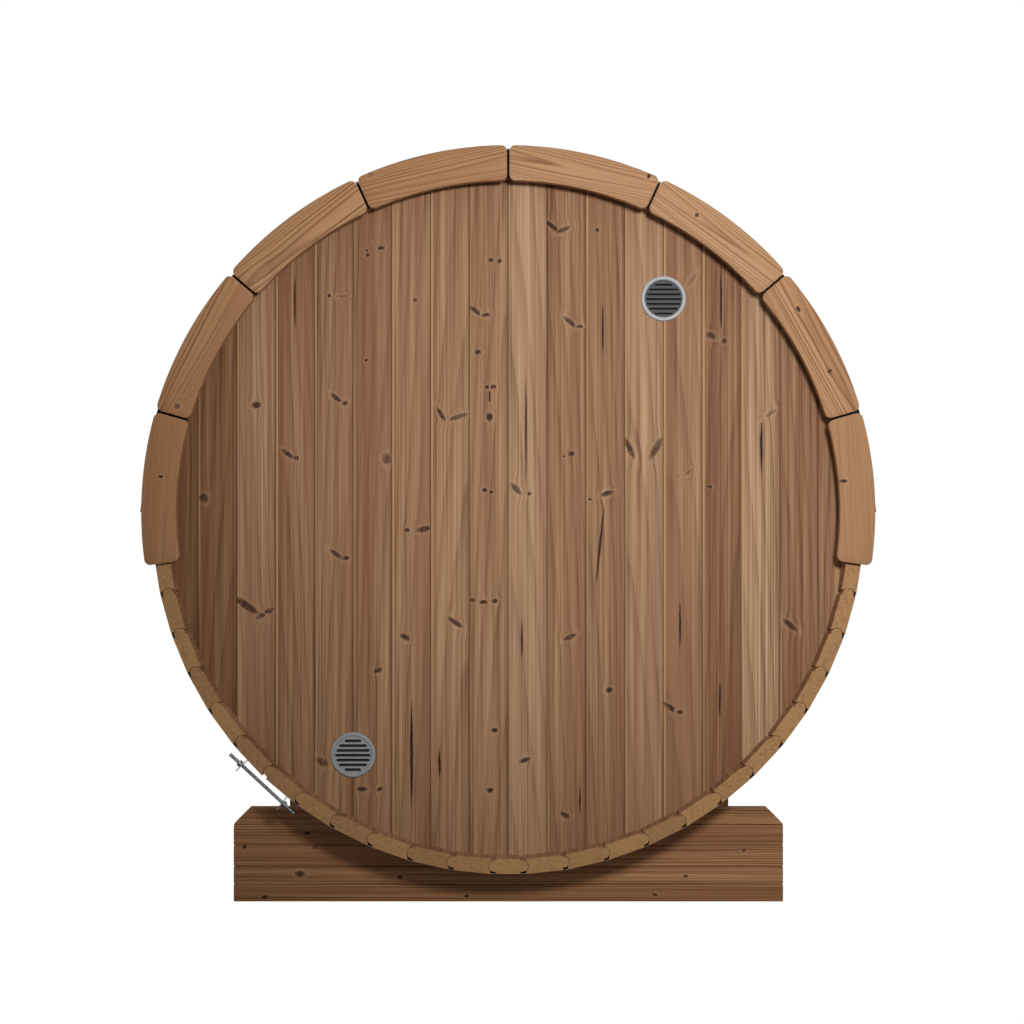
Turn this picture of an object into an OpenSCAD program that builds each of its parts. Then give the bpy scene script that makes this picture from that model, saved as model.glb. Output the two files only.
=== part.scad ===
// Barrel sauna of bead-and-cove staves on two stacked-board cradles.
// X runs across, Y along the barrel with its back end at -Y, Z up from the ground.

/* [Barrel] */
// Distance from the barrel's axis to the flat outer face of a stave
barrel_r = 996; // [900:1:1100]
// Length of the staves
barrel_len = 2000; // [1700:10:3000]
// Thickness of a stave
stave_t = 42; // [38:1:50]
// Staves on each side of the starter stave at the bottom
staves_per_side = 26; // [24:1:28]
// Width of the starter stave's face between its two beads
starter_w = 90; // [80:1:110]
// Radius of the bead along a stave's upper edge
bead_r = 18; // [15:0.5:18]
// How far the bead stands out of the edge
bead_out = 12; // [8:0.5:12]
// Chamfer on a stave's long corners
stave_chamfer = 3; // [1:0.5:3]
// Gap at each stave joint
joint_gap = 0.4; // [0.2:0.1:0.8]
// Clear height under the barrel
ground_gap = 128; // [110:1:150]

/* [End walls] */
// Depth of each end wall behind the stave ends
wall_inset = 67; // [60:1:90]
// Thickness of an end wall
wall_t = 34; // [28:1:45]
// Depth of the groove in the staves that holds an end wall
croze_depth = 12; // [8:1:16]
// Width of one upright wall board
board_w = 110; // [90:1:130]
// Width of the bevel along one edge of a wall board
bevel_w = 8; // [4:1:12]
// Depth of the open joint between two wall boards
joint_depth = 6; // [3:1:8]

/* [Fascia] */
// How far the fascia's outer radius lies beyond the staves' faces
fascia_out = 27; // [15:1:40]
// Width of the fascia boards
fascia_w = 98; // [90:1:110]
// Thickness of the fascia boards
fascia_t = 28; // [20:1:36]
// Height of the fascia's centre above the barrel's axis
fascia_lift = 17; // [10:1:25]
// Fascia boards on each side of the top
fascia_boards = 4; // [3:1:6]
// Angle below the horizontal where the fascia ends
fascia_drop_deg = 8.6; // [4:0.1:14]
// Gap between two fascia boards
fascia_gap = 6; // [3:1:10]
// Corner radius of a fascia board
fascia_corner = 17; // [8:1:24]

/* [Roof] */
// Thickness of the bent roof deck
deck_t = 18; // [12:1:22]
// Shingle courses on each side
courses = 11; // [8:1:14]
// Thickness of a course at its lower edge
course_butt = 12; // [9:0.5:14]
// Thickness of a course where the next one covers it
course_top = 6; // [4:0.5:8]
// Angle of the ridge cap on each side of the top
ridge_deg = 8; // [6:0.5:12]
// Thickness of the ridge cap
ridge_t = 5; // [3:0.5:7]
// Thickness of the black edge plate at each end of the roof
verge_t = 2; // [1:0.5:4]
// Height of the eave batten's tip above the barrel's axis
eave_h = 17; // [10:1:30]
// How far the eave batten's tip stands out of the staves
eave_out = 35; // [30:1:45]
// Height of the batten's back above its tip
eave_rise = 28; // [24:1:34]
// Depth of the batten's foot below its tip
eave_drop = 24; // [20:1:30]

/* [Bands] */
// Width of the steel band
band_w = 40; // [30:1:50]
// Thickness of the steel band
band_t = 1.5; // [1:0.25:2.5]
// Distance from a stave end to the middle of its band
band_inset = 30; // [25:1:110]
// Angle of the band's gap from the bottom, towards the left
gap_deg = 42.8; // [35:0.1:50]
// Angle that the band's gap takes up
gap_span_deg = 8.5; // [6:0.1:11]
// Height of the upturned tabs
tab_h = 45; // [40:1:55]
// Thickness of the upturned tabs
tab_t = 3; // [2:0.5:5]
// Diameter of the threaded rod
rod_d = 10; // [8:1:12]
// Length of the threaded rod
rod_len = 248; // [230:1:320]
// Height of the rod above the band
rod_out = 25; // [20:1:28]

/* [Cradles] */
// Length of a cradle across the barrel
cradle_w = 1610; // [1400:10:1700]
// Thickness of a cradle along the barrel
cradle_t = 70; // [45:1:100]
// Distance from a stave end to the face of its cradle
cradle_inset = 250; // [180:5:400]
// Heights of a cradle's stacked boards, from the ground up
cradle_board_h = [52, 52, 62, 61, 43]; // [40:1:70]
// Gap between stacked cradle boards
cradle_gap = 0.5; // [0.3:0.1:0.8]

/* [Vents] */
// Outer diameter of a vent
vent_d = 127; // [115:1:140]
// Inner diameter of its rim
vent_rim_d = 108; // [98:1:112]
// Outer diameter of the pipe through the wall
vent_pipe_d = 100; // [90:1:104]
// How far the rim stands out of the wall
vent_out = 8; // [5:1:12]
// Slots in a vent
vent_slots = 7; // [5:1:9]
// Board joints from the middle of the wall to a vent
vent_boards = 4; // [3:1:5]
// Clear wall between the upper vent and the staves
upper_vent_clear = 128.6; // [60:0.1:160]
// Clear wall between the lower vent and the staves
lower_vent_clear = 88.9; // [60:0.1:160]

/* [Door] */
// Width of the door leaf
door_w = 600; // [520:5:640]
// Clear wall between the door frame's corners and the staves
frame_clear = 17.5; // [10:0.5:60]
// Height of the door's middle above the barrel's axis
door_lift = 20; // [0:1:30]
// Thickness of the door leaf
door_t = 40; // [34:1:48]
// Width of the door frame
frame_w = 45; // [35:1:50]
// Depth of the door frame through the wall
frame_t = 62; // [54:1:70]
// Gap round the door leaf
door_gap = 4; // [3:0.5:6]
// Length of the door's wooden pull
pull_len = 320; // [200:10:450]

/* [Hidden] */
// Clearance where a curved seat meets the staves
seat = 0.1;
// Facets of a small and of a barrel-sized circle
round_fn = 64;
hoop_fn = 240;

back = -1;
front = 1;
axis_h = ground_gap + barrel_r;
stave_end = barrel_len / 2;
stave_in_r = barrel_r - stave_t;
stave_mid_r = barrel_r - stave_t / 2;
starter_deg = 2 * atan(starter_w / 2 / barrel_r);
stave_deg = (360 - starter_deg) / (2 * staves_per_side);
// Runs of staves on one side are split into quarters, each a segment of the round wall
run_ends = [for (q = [0:4]) round(q * staves_per_side / 4)];
// The bead's centre lies this far behind the joint plane
bead_back = bead_r - bead_out + joint_gap / 2;
// Radius over the stave corners, where bands, deck and cradles bear
hoop_r = sqrt(pow(barrel_r, 2) + pow(barrel_r * tan(stave_deg / 2) - stave_chamfer, 2)) + seat;

wall_fit = 0.5;
wall_r = stave_in_r + croze_depth - wall_fit;
wall_face = stave_end - wall_inset;
wall_mid = wall_face - wall_t / 2;
wall_joints = floor(wall_r / board_w);
joint_w = 2.5;
inner_v = 4;

fascia_r = barrel_r + fascia_out;
fascia_step = (90 + fascia_drop_deg) / fascia_boards;
arc_steps = 12;
corner_steps = 5;

deck_r = hoop_r + deck_t;
shingle_r = deck_r + seat;
roof_len = barrel_len - 2 * verge_t;
eave_tip = [barrel_r + eave_out - course_top, eave_h];
eave_top_h = eave_h + eave_rise;
eave_foot_h = eave_h - eave_drop;
eave_deg = asin(eave_top_h / deck_r);
course_deg = (90 - eave_deg) / courses;
course_gap_deg = 0.03;
verge_r = deck_r + course_butt + seat;

band_y = stave_end - band_inset;
rod_hole_d = rod_d + 1;
nut_across = 1.7 * rod_d;
nut_h = 0.8 * rod_d;
washer_d = 2 * rod_d;
washer_t = 2;
rod_r = (hoop_r + rod_out) * cos(gap_span_deg / 2);
tab_reach = (hoop_r + rod_out) * sin(gap_span_deg / 2) + tab_t;
washer_gap = (washer_d / 2 + tab_t) * tan(gap_span_deg / 2);

cradle_y = stave_end - cradle_inset - cradle_t / 2;
cradle_levels = len(cradle_board_h);
// Height of the underside of a cradle's board, summed from the boards below it
function cradle_base(i) = i == 0 ? 0 : cradle_base(i - 1) + cradle_board_h[i - 1];

vent_x = vent_boards * board_w;
// Height of a vent above or below the barrel's axis that leaves a clear width of wall round it
function vent_level(clear) = sqrt(pow(stave_in_r - vent_d / 2 - clear, 2) - pow(vent_x, 2));
vent_up = vent_level(upper_vent_clear);
vent_down = vent_level(lower_vent_clear);
vent_pitch = vent_pipe_d / (vent_slots + 0.5);
vent_slot_h = vent_pitch / 2;
vent_plate_t = vent_out / 2;
vent_pipe_wall = 2;
vent_bore = vent_pipe_d - 2 * vent_pipe_wall;
// The louvres reach this far into the pipe and rise enough that no slot can be seen through
louvre_in = 8;
louvre_overlap = 1;

door_mid_h = axis_h + door_lift;
leaf_half = door_w / 2;
opening_half = leaf_half + door_gap + frame_w;
opening_top = axis_h + sqrt(pow(stave_in_r - frame_clear, 2) - pow(opening_half, 2));
opening_foot = 2 * door_mid_h - opening_top;
door_h = opening_top - opening_foot - 2 * (door_gap + frame_w);
leaf_face = wall_mid + frame_t / 2;
hinge_d = 14;
hinge_h = 90;
hinge_w = 70;
hinge_plate_t = 3;
pull_d = 30;
pull_off = 34;

stave_colour = "#a8814f";
wall_colour = "#8d6b4c";
fascia_colour = "#a17350";
cradle_colour = "#6f4d35";
roof_colour = "#1b1b1c";
deck_colour = "#c2a878";
steel_colour = "#70767a";
vent_light = "#b9babb";
vent_dark = "#77797b";

// Lays a drawn outline upright, with its Y up, and gives it a length along the barrel
module along_barrel(length) {
    rotate([90, 0, 0])
        linear_extrude(height = length, center = true)
            children();
}

// Turns a piece drawn at the top of the barrel to an angle from the bottom, positive to the right
module round_barrel(deg) {
    translate([0, 0, axis_h])
        rotate([0, 180 - deg, 0])
            children();
}

// Mirrors a right-hand piece to the left
module on_side(side) {
    if (side == "left") mirror([1, 0, 0]) children();
    else children();
}

// Points of an arc about a centre, from one angle to another
function arc(r, from, to, steps, centre = [0, 0]) =
    [for (i = [0:steps]) let (a = from + (to - from) * i / steps) centre + r * [cos(a), sin(a)]];

// Half-width of a stave at a distance from the barrel's axis
function edge_x(half_deg, y) = y * tan(half_deg) - joint_gap / 2 / cos(half_deg);

// One long side of a stave's outline, with both corners chamfered
function stave_side(half_deg) = [
    [edge_x(half_deg, barrel_r) - stave_chamfer, barrel_r],
    [edge_x(half_deg, barrel_r - stave_chamfer), barrel_r - stave_chamfer],
    [edge_x(half_deg, stave_in_r + stave_chamfer), stave_in_r + stave_chamfer],
    [edge_x(half_deg, stave_in_r) - stave_chamfer, stave_in_r]
];

// Centre of the bead circle at a joint, behind the joint plane or beyond it
function bead_centre(half_deg, behind) = [
    stave_mid_r * sin(half_deg) - behind * cos(half_deg),
    stave_mid_r * cos(half_deg) + behind * sin(half_deg)
];

// Round bead along the upper (-1) or the lower (1) edge of a stave
module bead(half_deg, edge) {
    centre = bead_centre(half_deg, bead_back);
    along_barrel(barrel_len)
        translate([edge * centre.x, centre.y]) circle(r = bead_r, $fn = round_fn);
}

// Hollow that takes the neighbour's bead
module cove(half_deg, edge) {
    centre = bead_centre(half_deg, -bead_back);
    along_barrel(barrel_len + 2)
        translate([edge * centre.x, centre.y]) circle(r = bead_r + joint_gap, $fn = round_fn);
}

// A stave at the top of the barrel: a bead or a cove on its upper (-X) and its lower (+X) edge,
// and a groove across it for each end wall
module stave(half_deg, upper_bead, lower_bead) {
    right_side = stave_side(half_deg);
    left_side = [for (i = [len(right_side) - 1:-1:0]) [-right_side[i].x, right_side[i].y]];
    groove_w = wall_t + 2 * wall_fit;
    groove_len = 2 * (barrel_r * tan(half_deg) + bead_r);
    difference() {
        union() {
            along_barrel(barrel_len) polygon(concat(right_side, left_side));
            if (upper_bead) bead(half_deg, -1);
            if (lower_bead) bead(half_deg, 1);
        }
        if (!upper_bead) cove(half_deg, -1);
        if (!lower_bead) cove(half_deg, 1);
        for (end = [back, front])
            translate([0, end * wall_mid, stave_in_r])
                cube([groove_len, groove_w, 2 * croze_depth], center = true);
    }
}

// Regular staves of one side, counted upwards from the starter
module stave_run(side, first, last) {
    color(stave_colour)
        on_side(side)
            for (k = [first:last])
                round_barrel(starter_deg / 2 + (k - 0.5) * stave_deg)
                    stave(stave_deg / 2, true, false);
}

module starter_stave() {
    color(stave_colour)
        round_barrel(0)
            stave(starter_deg / 2, true, true);
}

// The last stave has a cove on both edges, so that it drops in between its neighbours
module closing_stave() {
    color(stave_colour)
        on_side("left")
            round_barrel(180 - stave_deg / 2)
                stave(stave_deg / 2, false, false);
}

module right_staves_lowest() { stave_run("right", run_ends[0] + 1, run_ends[1]); }
module right_staves_low() { stave_run("right", run_ends[1] + 1, run_ends[2]); }
module right_staves_high() { stave_run("right", run_ends[2] + 1, run_ends[3]); }
module right_staves_highest() { stave_run("right", run_ends[3] + 1, run_ends[4]); }
module left_staves_lowest() { stave_run("left", run_ends[0] + 1, run_ends[1]); }
module left_staves_low() { stave_run("left", run_ends[1] + 1, run_ends[2]); }
module left_staves_high() { stave_run("left", run_ends[2] + 1, run_ends[3]); }
module left_staves_highest() { stave_run("left", run_ends[3] + 1, run_ends[4] - 1); }

// Plan of a board joint's outer face at Y 0: an open slot with a wide bevel on one board
module outer_joint() {
    polygon([
        [-joint_w / 2, 1],
        [-joint_w / 2, -joint_depth],
        [joint_w / 2, -joint_depth],
        [joint_w / 2, -bevel_w / 2],
        [joint_w / 2 + bevel_w, 0],
        [joint_w / 2 + bevel_w, 1]
    ]);
}

// Plan of a board joint's inner face at Y 0: a small V
module inner_joint() {
    polygon([[-inner_v, -1], [inner_v, -1], [inner_v, 0], [0, inner_v], [-inner_v, 0]]);
}

// Upright board wall that fills the barrel's end, facing outwards at -Y
module board_wall() {
    difference() {
        along_barrel(wall_t) circle(r = wall_r, $fn = hoop_fn);
        for (k = [-wall_joints:wall_joints])
            translate([k * board_w, 0, 0])
                linear_extrude(height = 2 * barrel_r, center = true)
                    mirror([0, 1, 0]) {
                        translate([0, wall_t / 2]) outer_joint();
                        translate([0, -wall_t / 2]) inner_joint();
                    }
    }
}

// Places a piece drawn for the back wall's middle plane at either end
module at_wall(end) {
    translate([0, end * wall_mid, axis_h])
        rotate([0, 0, end == back ? 0 : 180])
            children();
}

module back_wall() {
    color(wall_colour)
        difference() {
            at_wall(back) board_wall();
            for (side = [-1, 1])
                translate([side * vent_x, -wall_mid, axis_h + (side > 0 ? vent_up : -vent_down)])
                    along_barrel(2 * wall_t) circle(d = vent_pipe_d + 1, $fn = round_fn);
        }
}

// Part of the front wall inside a rectangle given by its low and high corners in X and Z
module front_wall_part(low, high) {
    color(wall_colour)
        intersection() {
            at_wall(front) board_wall();
            translate([low.x, wall_mid - wall_t, low.y])
                cube([high.x - low.x, 2 * wall_t, high.y - low.y]);
        }
}

module front_wall_left() {
    front_wall_part([-barrel_r, 0], [-opening_half, 2 * axis_h]);
}

module front_wall_right() {
    front_wall_part([opening_half, 0], [barrel_r, 2 * axis_h]);
}

module front_wall_over_door() {
    front_wall_part([-opening_half, opening_top], [opening_half, 2 * axis_h]);
}

module front_wall_under_door() {
    front_wall_part([-opening_half, 0], [opening_half, opening_foot]);
}

module door_jambs() {
    color(fascia_colour)
        for (side = [-1, 1])
            translate([side * (opening_half - frame_w / 2), wall_mid, door_mid_h])
                cube([frame_w, frame_t, opening_top - opening_foot - 2 * frame_w], center = true);
}

module door_head() {
    color(fascia_colour)
        translate([0, wall_mid, opening_top - frame_w / 2])
            cube([2 * opening_half, frame_t, frame_w], center = true);
}

module door_sill() {
    color(fascia_colour)
        translate([0, wall_mid, opening_foot + frame_w / 2])
            cube([2 * opening_half, frame_t, frame_w], center = true);
}

// Door leaf of upright boards with the same joints as the wall
module door_leaf() {
    leaf_joints = floor((leaf_half - bevel_w) / board_w);
    color(wall_colour)
        difference() {
            translate([0, leaf_face - door_t / 2, door_mid_h])
                cube([door_w, door_t, door_h], center = true);
            for (k = [-leaf_joints:leaf_joints])
                translate([k * board_w, leaf_face, door_mid_h])
                    linear_extrude(height = 2 * door_h, center = true)
                        outer_joint();
        }
}

// Two surface hinges: a knuckle over the gap and a plate on the door and on the jamb
module door_hinges() {
    color(steel_colour)
        for (level = [-1, 1])
            translate([leaf_half + door_gap / 2, leaf_face, door_mid_h + level * door_h / 3]) {
                translate([0, hinge_d / 2, 0])
                    cylinder(d = hinge_d, h = hinge_h, center = true, $fn = round_fn);
                translate([0, hinge_plate_t / 2, 0])
                    cube([hinge_w, hinge_plate_t, hinge_h], center = true);
            }
}

// Wooden pull: a round bar on two posts
module door_pull() {
    post_d = 22;
    pull_x = -leaf_half + 70;
    color(fascia_colour)
        translate([pull_x, leaf_face + pull_off, door_mid_h]) {
            cylinder(d = pull_d, h = pull_len, center = true, $fn = round_fn);
            for (level = [-1, 1])
                translate([0, -pull_off / 2, level * pull_len / 3])
                    along_barrel(pull_off) circle(d = post_d, $fn = round_fn);
        }
}

// Outline of a curved board between two angles, with rounded corners
function curved_board(r_in, r_out, from, to, corner) =
    let (
        out_deg = asin(corner / (r_out - corner)),
        in_deg = asin(corner / (r_in + corner)),
        out_c = r_out - corner,
        in_c = r_in + corner,
        high_out = out_c * [cos(to - out_deg), sin(to - out_deg)],
        high_in = in_c * [cos(to - in_deg), sin(to - in_deg)],
        low_in = in_c * [cos(from + in_deg), sin(from + in_deg)],
        low_out = out_c * [cos(from + out_deg), sin(from + out_deg)]
    )
    concat(
        arc(r_out, from + out_deg, to - out_deg, arc_steps),
        arc(corner, to - out_deg, to + 90, corner_steps, high_out),
        arc(corner, to + 90, to - in_deg + 180, corner_steps, high_in),
        arc(r_in, to - in_deg, from + in_deg, arc_steps),
        arc(corner, from + in_deg + 180, from + 270, corner_steps, low_in),
        arc(corner, from + 270, from + out_deg + 360, corner_steps, low_out)
    );

// Arched boards over one end of the barrel, on one side of the top
module fascia(end, side) {
    half_gap = asin(fascia_gap / 2 / (fascia_r - fascia_w / 2));
    color(fascia_colour)
        translate([0, end * (stave_end + fascia_t / 2), axis_h + fascia_lift])
            on_side(side)
                for (k = [0:fascia_boards - 1]) {
                    from = -fascia_drop_deg + k * fascia_step;
                    along_barrel(fascia_t)
                        polygon(curved_board(fascia_r - fascia_w, fascia_r, from + half_gap,
                                             from + fascia_step - half_gap, fascia_corner));
                }
}

module back_fascia_left() { fascia(back, "left"); }
module back_fascia_right() { fascia(back, "right"); }
module front_fascia_left() { fascia(front, "left"); }
module front_fascia_right() { fascia(front, "right"); }

// Thin curved sheet between two radii and two angles above the horizontal
module curved_sheet(r_in, r_out, from, to, length) {
    reach = 2 * r_out;
    along_barrel(length)
        intersection() {
            difference() {
                circle(r = r_out, $fn = hoop_fn);
                circle(r = r_in, $fn = hoop_fn);
            }
            polygon(concat([[0, 0]], arc(reach, from, to, 4)));
        }
}

// Shallow troughs where the two bands run under the roof
module band_troughs() {
    for (end = [back, front])
        translate([0, end * band_y, 0])
            along_barrel(band_w + 2)
                circle(r = hoop_r + band_t + seat, $fn = hoop_fn);
}

// Bent deck on the staves
module roof_deck(side) {
    color(deck_colour)
        translate([0, 0, axis_h])
            on_side(side)
                difference() {
                    curved_sheet(hoop_r, deck_r, eave_deg, 90, roof_len);
                    band_troughs();
                }
}

module roof_deck_left() { roof_deck("left"); }
module roof_deck_right() { roof_deck("right"); }

// Thickness of the shingles at an angle above the horizontal, thick at each course's lower edge
function course_t(share) = course_butt + (course_top - course_butt) * share;

// Courses of shingles on one side, and the strip that turns down over the eave batten
module shingles(side) {
    steps = 6;
    tip_out = eave_tip + course_top * [1, 0];
    color(roof_colour)
        translate([0, 0, axis_h])
            on_side(side) {
                for (c = [0:courses - 1]) {
                    from = eave_deg + c * course_deg;
                    to = from + course_deg - course_gap_deg;
                    outer = [for (i = [0:steps]) let (a = to + (from - to) * i / steps)
                        (shingle_r + course_t(1 - i / steps)) * [cos(a), sin(a)]];
                    along_barrel(roof_len) polygon(concat(arc(shingle_r, from, to, steps), outer));
                }
                along_barrel(roof_len)
                    polygon([
                        eave_tip + [seat, 0],
                        tip_out,
                        [shingle_r + course_butt, eave_top_h - 1],
                        [shingle_r, eave_top_h - 1]
                    ]);
            }
}

module shingles_left() { shingles("left"); }
module shingles_right() { shingles("right"); }

// Cap over the top, resting on the highest course of each side
module ridge_cap() {
    steps = 8;
    function cap_r(a) = shingle_r + seat + course_t(1 - min(abs(a - 90) / course_deg, 1));
    angles = [for (i = [-steps:steps]) 90 + i * ridge_deg / steps];
    last = len(angles) - 1;
    inner = [for (a = angles) cap_r(a) * [cos(a), sin(a)]];
    outer = [for (i = [last:-1:0]) (cap_r(angles[i]) + ridge_t) * [cos(angles[i]), sin(angles[i])]];
    color(roof_colour)
        translate([0, 0, axis_h])
            along_barrel(roof_len)
                polygon(concat(inner, outer));
}

// Three-sided battens along both eaves, which carry the foot of the deck
module eave_battens() {
    color(fascia_colour)
        translate([0, 0, axis_h])
            for (side = ["left", "right"])
                on_side(side)
                    difference() {
                        along_barrel(roof_len)
                            polygon([
                                [hoop_r, eave_foot_h],
                                eave_tip,
                                [deck_r, eave_top_h - seat],
                                [hoop_r, eave_top_h - seat]
                            ]);
                        band_troughs();
                    }
}

// Black plate over the roof's end, behind the fascia
module verge(end) {
    color(roof_colour)
        translate([0, end * (stave_end - verge_t / 2), axis_h])
            curved_sheet(hoop_r, verge_r, eave_deg, 180 - eave_deg, verge_t);
}

module back_verge() { verge(back); }
module front_verge() { verge(front); }

// Point at an angle from the bottom, moved along the turn and out from the barrel's axis
function turned(deg, along, out) = [along * cos(deg) + out * sin(deg), along * sin(deg) - out * cos(deg)];

// Angle of the middle of a stave, counted from the starter, to the right or (below zero) to the left
function stave_middle(k) = sign(k) * (starter_deg / 2 + (abs(k) - 0.5) * stave_deg);

// Half-width of a stave's flat outer face, between its chamfers
function face_half(k) = edge_x((k == 0 ? starter_deg : stave_deg) / 2, barrel_r) - stave_chamfer;

// Corners that a tight strap bends over, between two angles, at a height above the flat faces
function strap_corners(from, to, height) = [
    for (k = [-staves_per_side:2 * staves_per_side], side = [-1, 1])
        let (deg = stave_middle(k) + side * atan(face_half(k) / barrel_r))
        if (deg > from && deg < to) turned(stave_middle(k), side * face_half(k), barrel_r + height)
];

// Distance of a stave's flat face from the barrel's axis, at an angle from the bottom
function face_r(deg) =
    let (along = (abs(deg) - starter_deg / 2) / stave_deg)
    min(barrel_r / cos((along - floor(along) - 0.5) * stave_deg), hoop_r);

// Outline of the band: round the inside, out along one tab, back round the outside to the other tab
function band_outline(from, to) =
    let (
        top = hoop_r + tab_h,
        outside = strap_corners(from, to, seat + band_t),
        last = len(outside) - 1
    )
    concat(
        [turned(from, 0, face_r(from) + seat)],
        strap_corners(from, to, seat),
        [
            turned(to, 0, face_r(360 - to) + seat),
            turned(to, 0, top),
            turned(to, -tab_t, top),
            turned(to, -tab_t, face_r(360 - to) + seat + band_t)
        ],
        [for (i = [last:-1:0]) outside[i]],
        [
            turned(from, tab_t, face_r(from) + seat + band_t),
            turned(from, tab_t, top),
            turned(from, 0, top)
        ]
    );

// Steel band round the staves, open at the lower left, with its ends turned up as tabs
module band(end) {
    from = -gap_deg + gap_span_deg / 2;
    to = 360 - gap_deg - gap_span_deg / 2;
    color(steel_colour)
        translate([0, end * band_y, 0])
            difference() {
                translate([0, 0, axis_h])
                    along_barrel(band_w) polygon(band_outline(from, to));
                for (deg = [from, to])
                    round_barrel(deg)
                        translate([0, 0, hoop_r + rod_out])
                            rotate([0, 90, 0])
                                cylinder(d = rod_hole_d, h = 4 * tab_t, center = true, $fn = round_fn);
            }
}

module back_band() { band(back); }
module front_band() { band(front); }

// Threaded rod that draws the two tabs together
module tension_rod(end) {
    color(steel_colour)
        translate([0, end * band_y, 0])
            round_barrel(-gap_deg)
                translate([0, 0, rod_r])
                    rotate([0, 90, 0])
                        cylinder(d = rod_d, h = rod_len, center = true, $fn = round_fn);
}

module back_tension_rod() { tension_rod(back); }
module front_tension_rod() { tension_rod(front); }

// A nut and its washer outside each tab
module band_nuts(end) {
    washer_at = tab_reach + washer_gap;
    color(steel_colour)
        translate([0, end * band_y, 0])
            round_barrel(-gap_deg)
                for (way = [-1, 1])
                    translate([0, 0, rod_r])
                        rotate([0, way * 90, 0])
                            difference() {
                                union() {
                                    translate([0, 0, washer_at])
                                        cylinder(d = washer_d, h = washer_t, $fn = round_fn);
                                    translate([0, 0, washer_at + washer_t])
                                        cylinder(d = nut_across / cos(30), h = nut_h, $fn = 6);
                                }
                                cylinder(d = rod_d + 2 * seat, h = rod_len, $fn = round_fn);
                            }
}

module back_band_nuts() { band_nuts(back); }
module front_band_nuts() { band_nuts(front); }

// Boards stacked to a cradle, hollowed to the barrel, with the top board's ends cut at 45 degrees
module cradle(end) {
    top = cradle_levels - 1;
    color(cradle_colour)
        translate([0, end * cradle_y, 0])
            along_barrel(cradle_t)
                difference() {
                    for (i = [0:top]) {
                        half = cradle_w / 2;
                        low = cradle_base(i);
                        high = low + cradle_board_h[i] - (i < top ? cradle_gap : 0);
                        cut = i == top ? high - low : 0;
                        polygon([[-half, low], [half, low], [half - cut, high], [cut - half, high]]);
                    }
                    translate([0, axis_h]) circle(r = hoop_r, $fn = hoop_fn);
                }
}

module back_cradle() { cradle(back); }
module front_cradle() { cradle(front); }

// Slots between the louvres: each rises from the face of the vent into its pipe
module louvre_slots() {
    rise = vent_slot_h + louvre_overlap;
    front_y = -vent_plate_t - 1;
    back_y = louvre_in + 1;
    intersection() {
        along_barrel(4 * wall_t) circle(d = vent_bore, $fn = round_fn);
        rotate([90, 0, 90])
            linear_extrude(height = vent_d, center = true)
                for (i = [0:vent_slots - 1]) {
                    low = (i - vent_slots / 2) * vent_pitch;
                    high = low + vent_slot_h;
                    polygon([
                        [front_y, low],
                        [back_y, low + rise],
                        [back_y, high + rise],
                        [front_y, high]
                    ]);
                }
    }
}

// A ring that runs along the barrel from one depth to another
module vent_ring(outer_d, bore_d, from, to) {
    translate([0, (from + to) / 2, 0])
        along_barrel(to - from)
            difference() {
                circle(d = outer_d, $fn = round_fn);
                circle(d = bore_d, $fn = round_fn);
            }
}

// Round wall vent: a rim, sloping louvres and a short pipe through the wall
module vent(level, side, colour) {
    color(colour)
        translate([side * vent_x, -wall_face, axis_h + level]) {
            vent_ring(vent_d, vent_rim_d, -vent_out, 0);
            vent_ring(vent_pipe_d, vent_bore, 0, wall_t);
            difference() {
                union() {
                    translate([0, -vent_plate_t / 2, 0])
                        along_barrel(vent_plate_t) circle(d = vent_rim_d + 1, $fn = round_fn);
                    translate([0, louvre_in / 2, 0])
                        along_barrel(louvre_in) circle(d = vent_bore + vent_pipe_wall, $fn = round_fn);
                }
                louvre_slots();
            }
        }
}

module upper_vent() { vent(vent_up, 1, vent_light); }
module lower_vent() { vent(-vent_down, -1, vent_dark); }

starter_stave();
closing_stave();
right_staves_lowest();
right_staves_low();
right_staves_high();
right_staves_highest();
left_staves_lowest();
left_staves_low();
left_staves_high();
left_staves_highest();
back_wall();
front_wall_left();
front_wall_right();
front_wall_over_door();
front_wall_under_door();
door_jambs();
door_head();
door_sill();
door_leaf();
door_hinges();
door_pull();
back_fascia_left();
back_fascia_right();
front_fascia_left();
front_fascia_right();
roof_deck_left();
roof_deck_right();
shingles_left();
shingles_right();
ridge_cap();
eave_battens();
back_verge();
front_verge();
back_band();
front_band();
back_tension_rod();
front_tension_rod();
back_band_nuts();
front_band_nuts();
back_cradle();
front_cradle();
upper_vent();
lower_vent();
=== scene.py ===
# %% [markdown]
# # A barrel sauna, board by board
# The frame from the CAD gives every piece its place and size. This lesson makes the looks around it:
# staves, end boards, arched fascia, shingles, cradles and vents are modelled with Blender's own
# operators, and procedural woods, bitumen, steel and plastic are laid over them.

import math
import random
from functools import partial

import bmesh
import bpy
import numpy as np
from mathutils import Matrix, Vector


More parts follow.
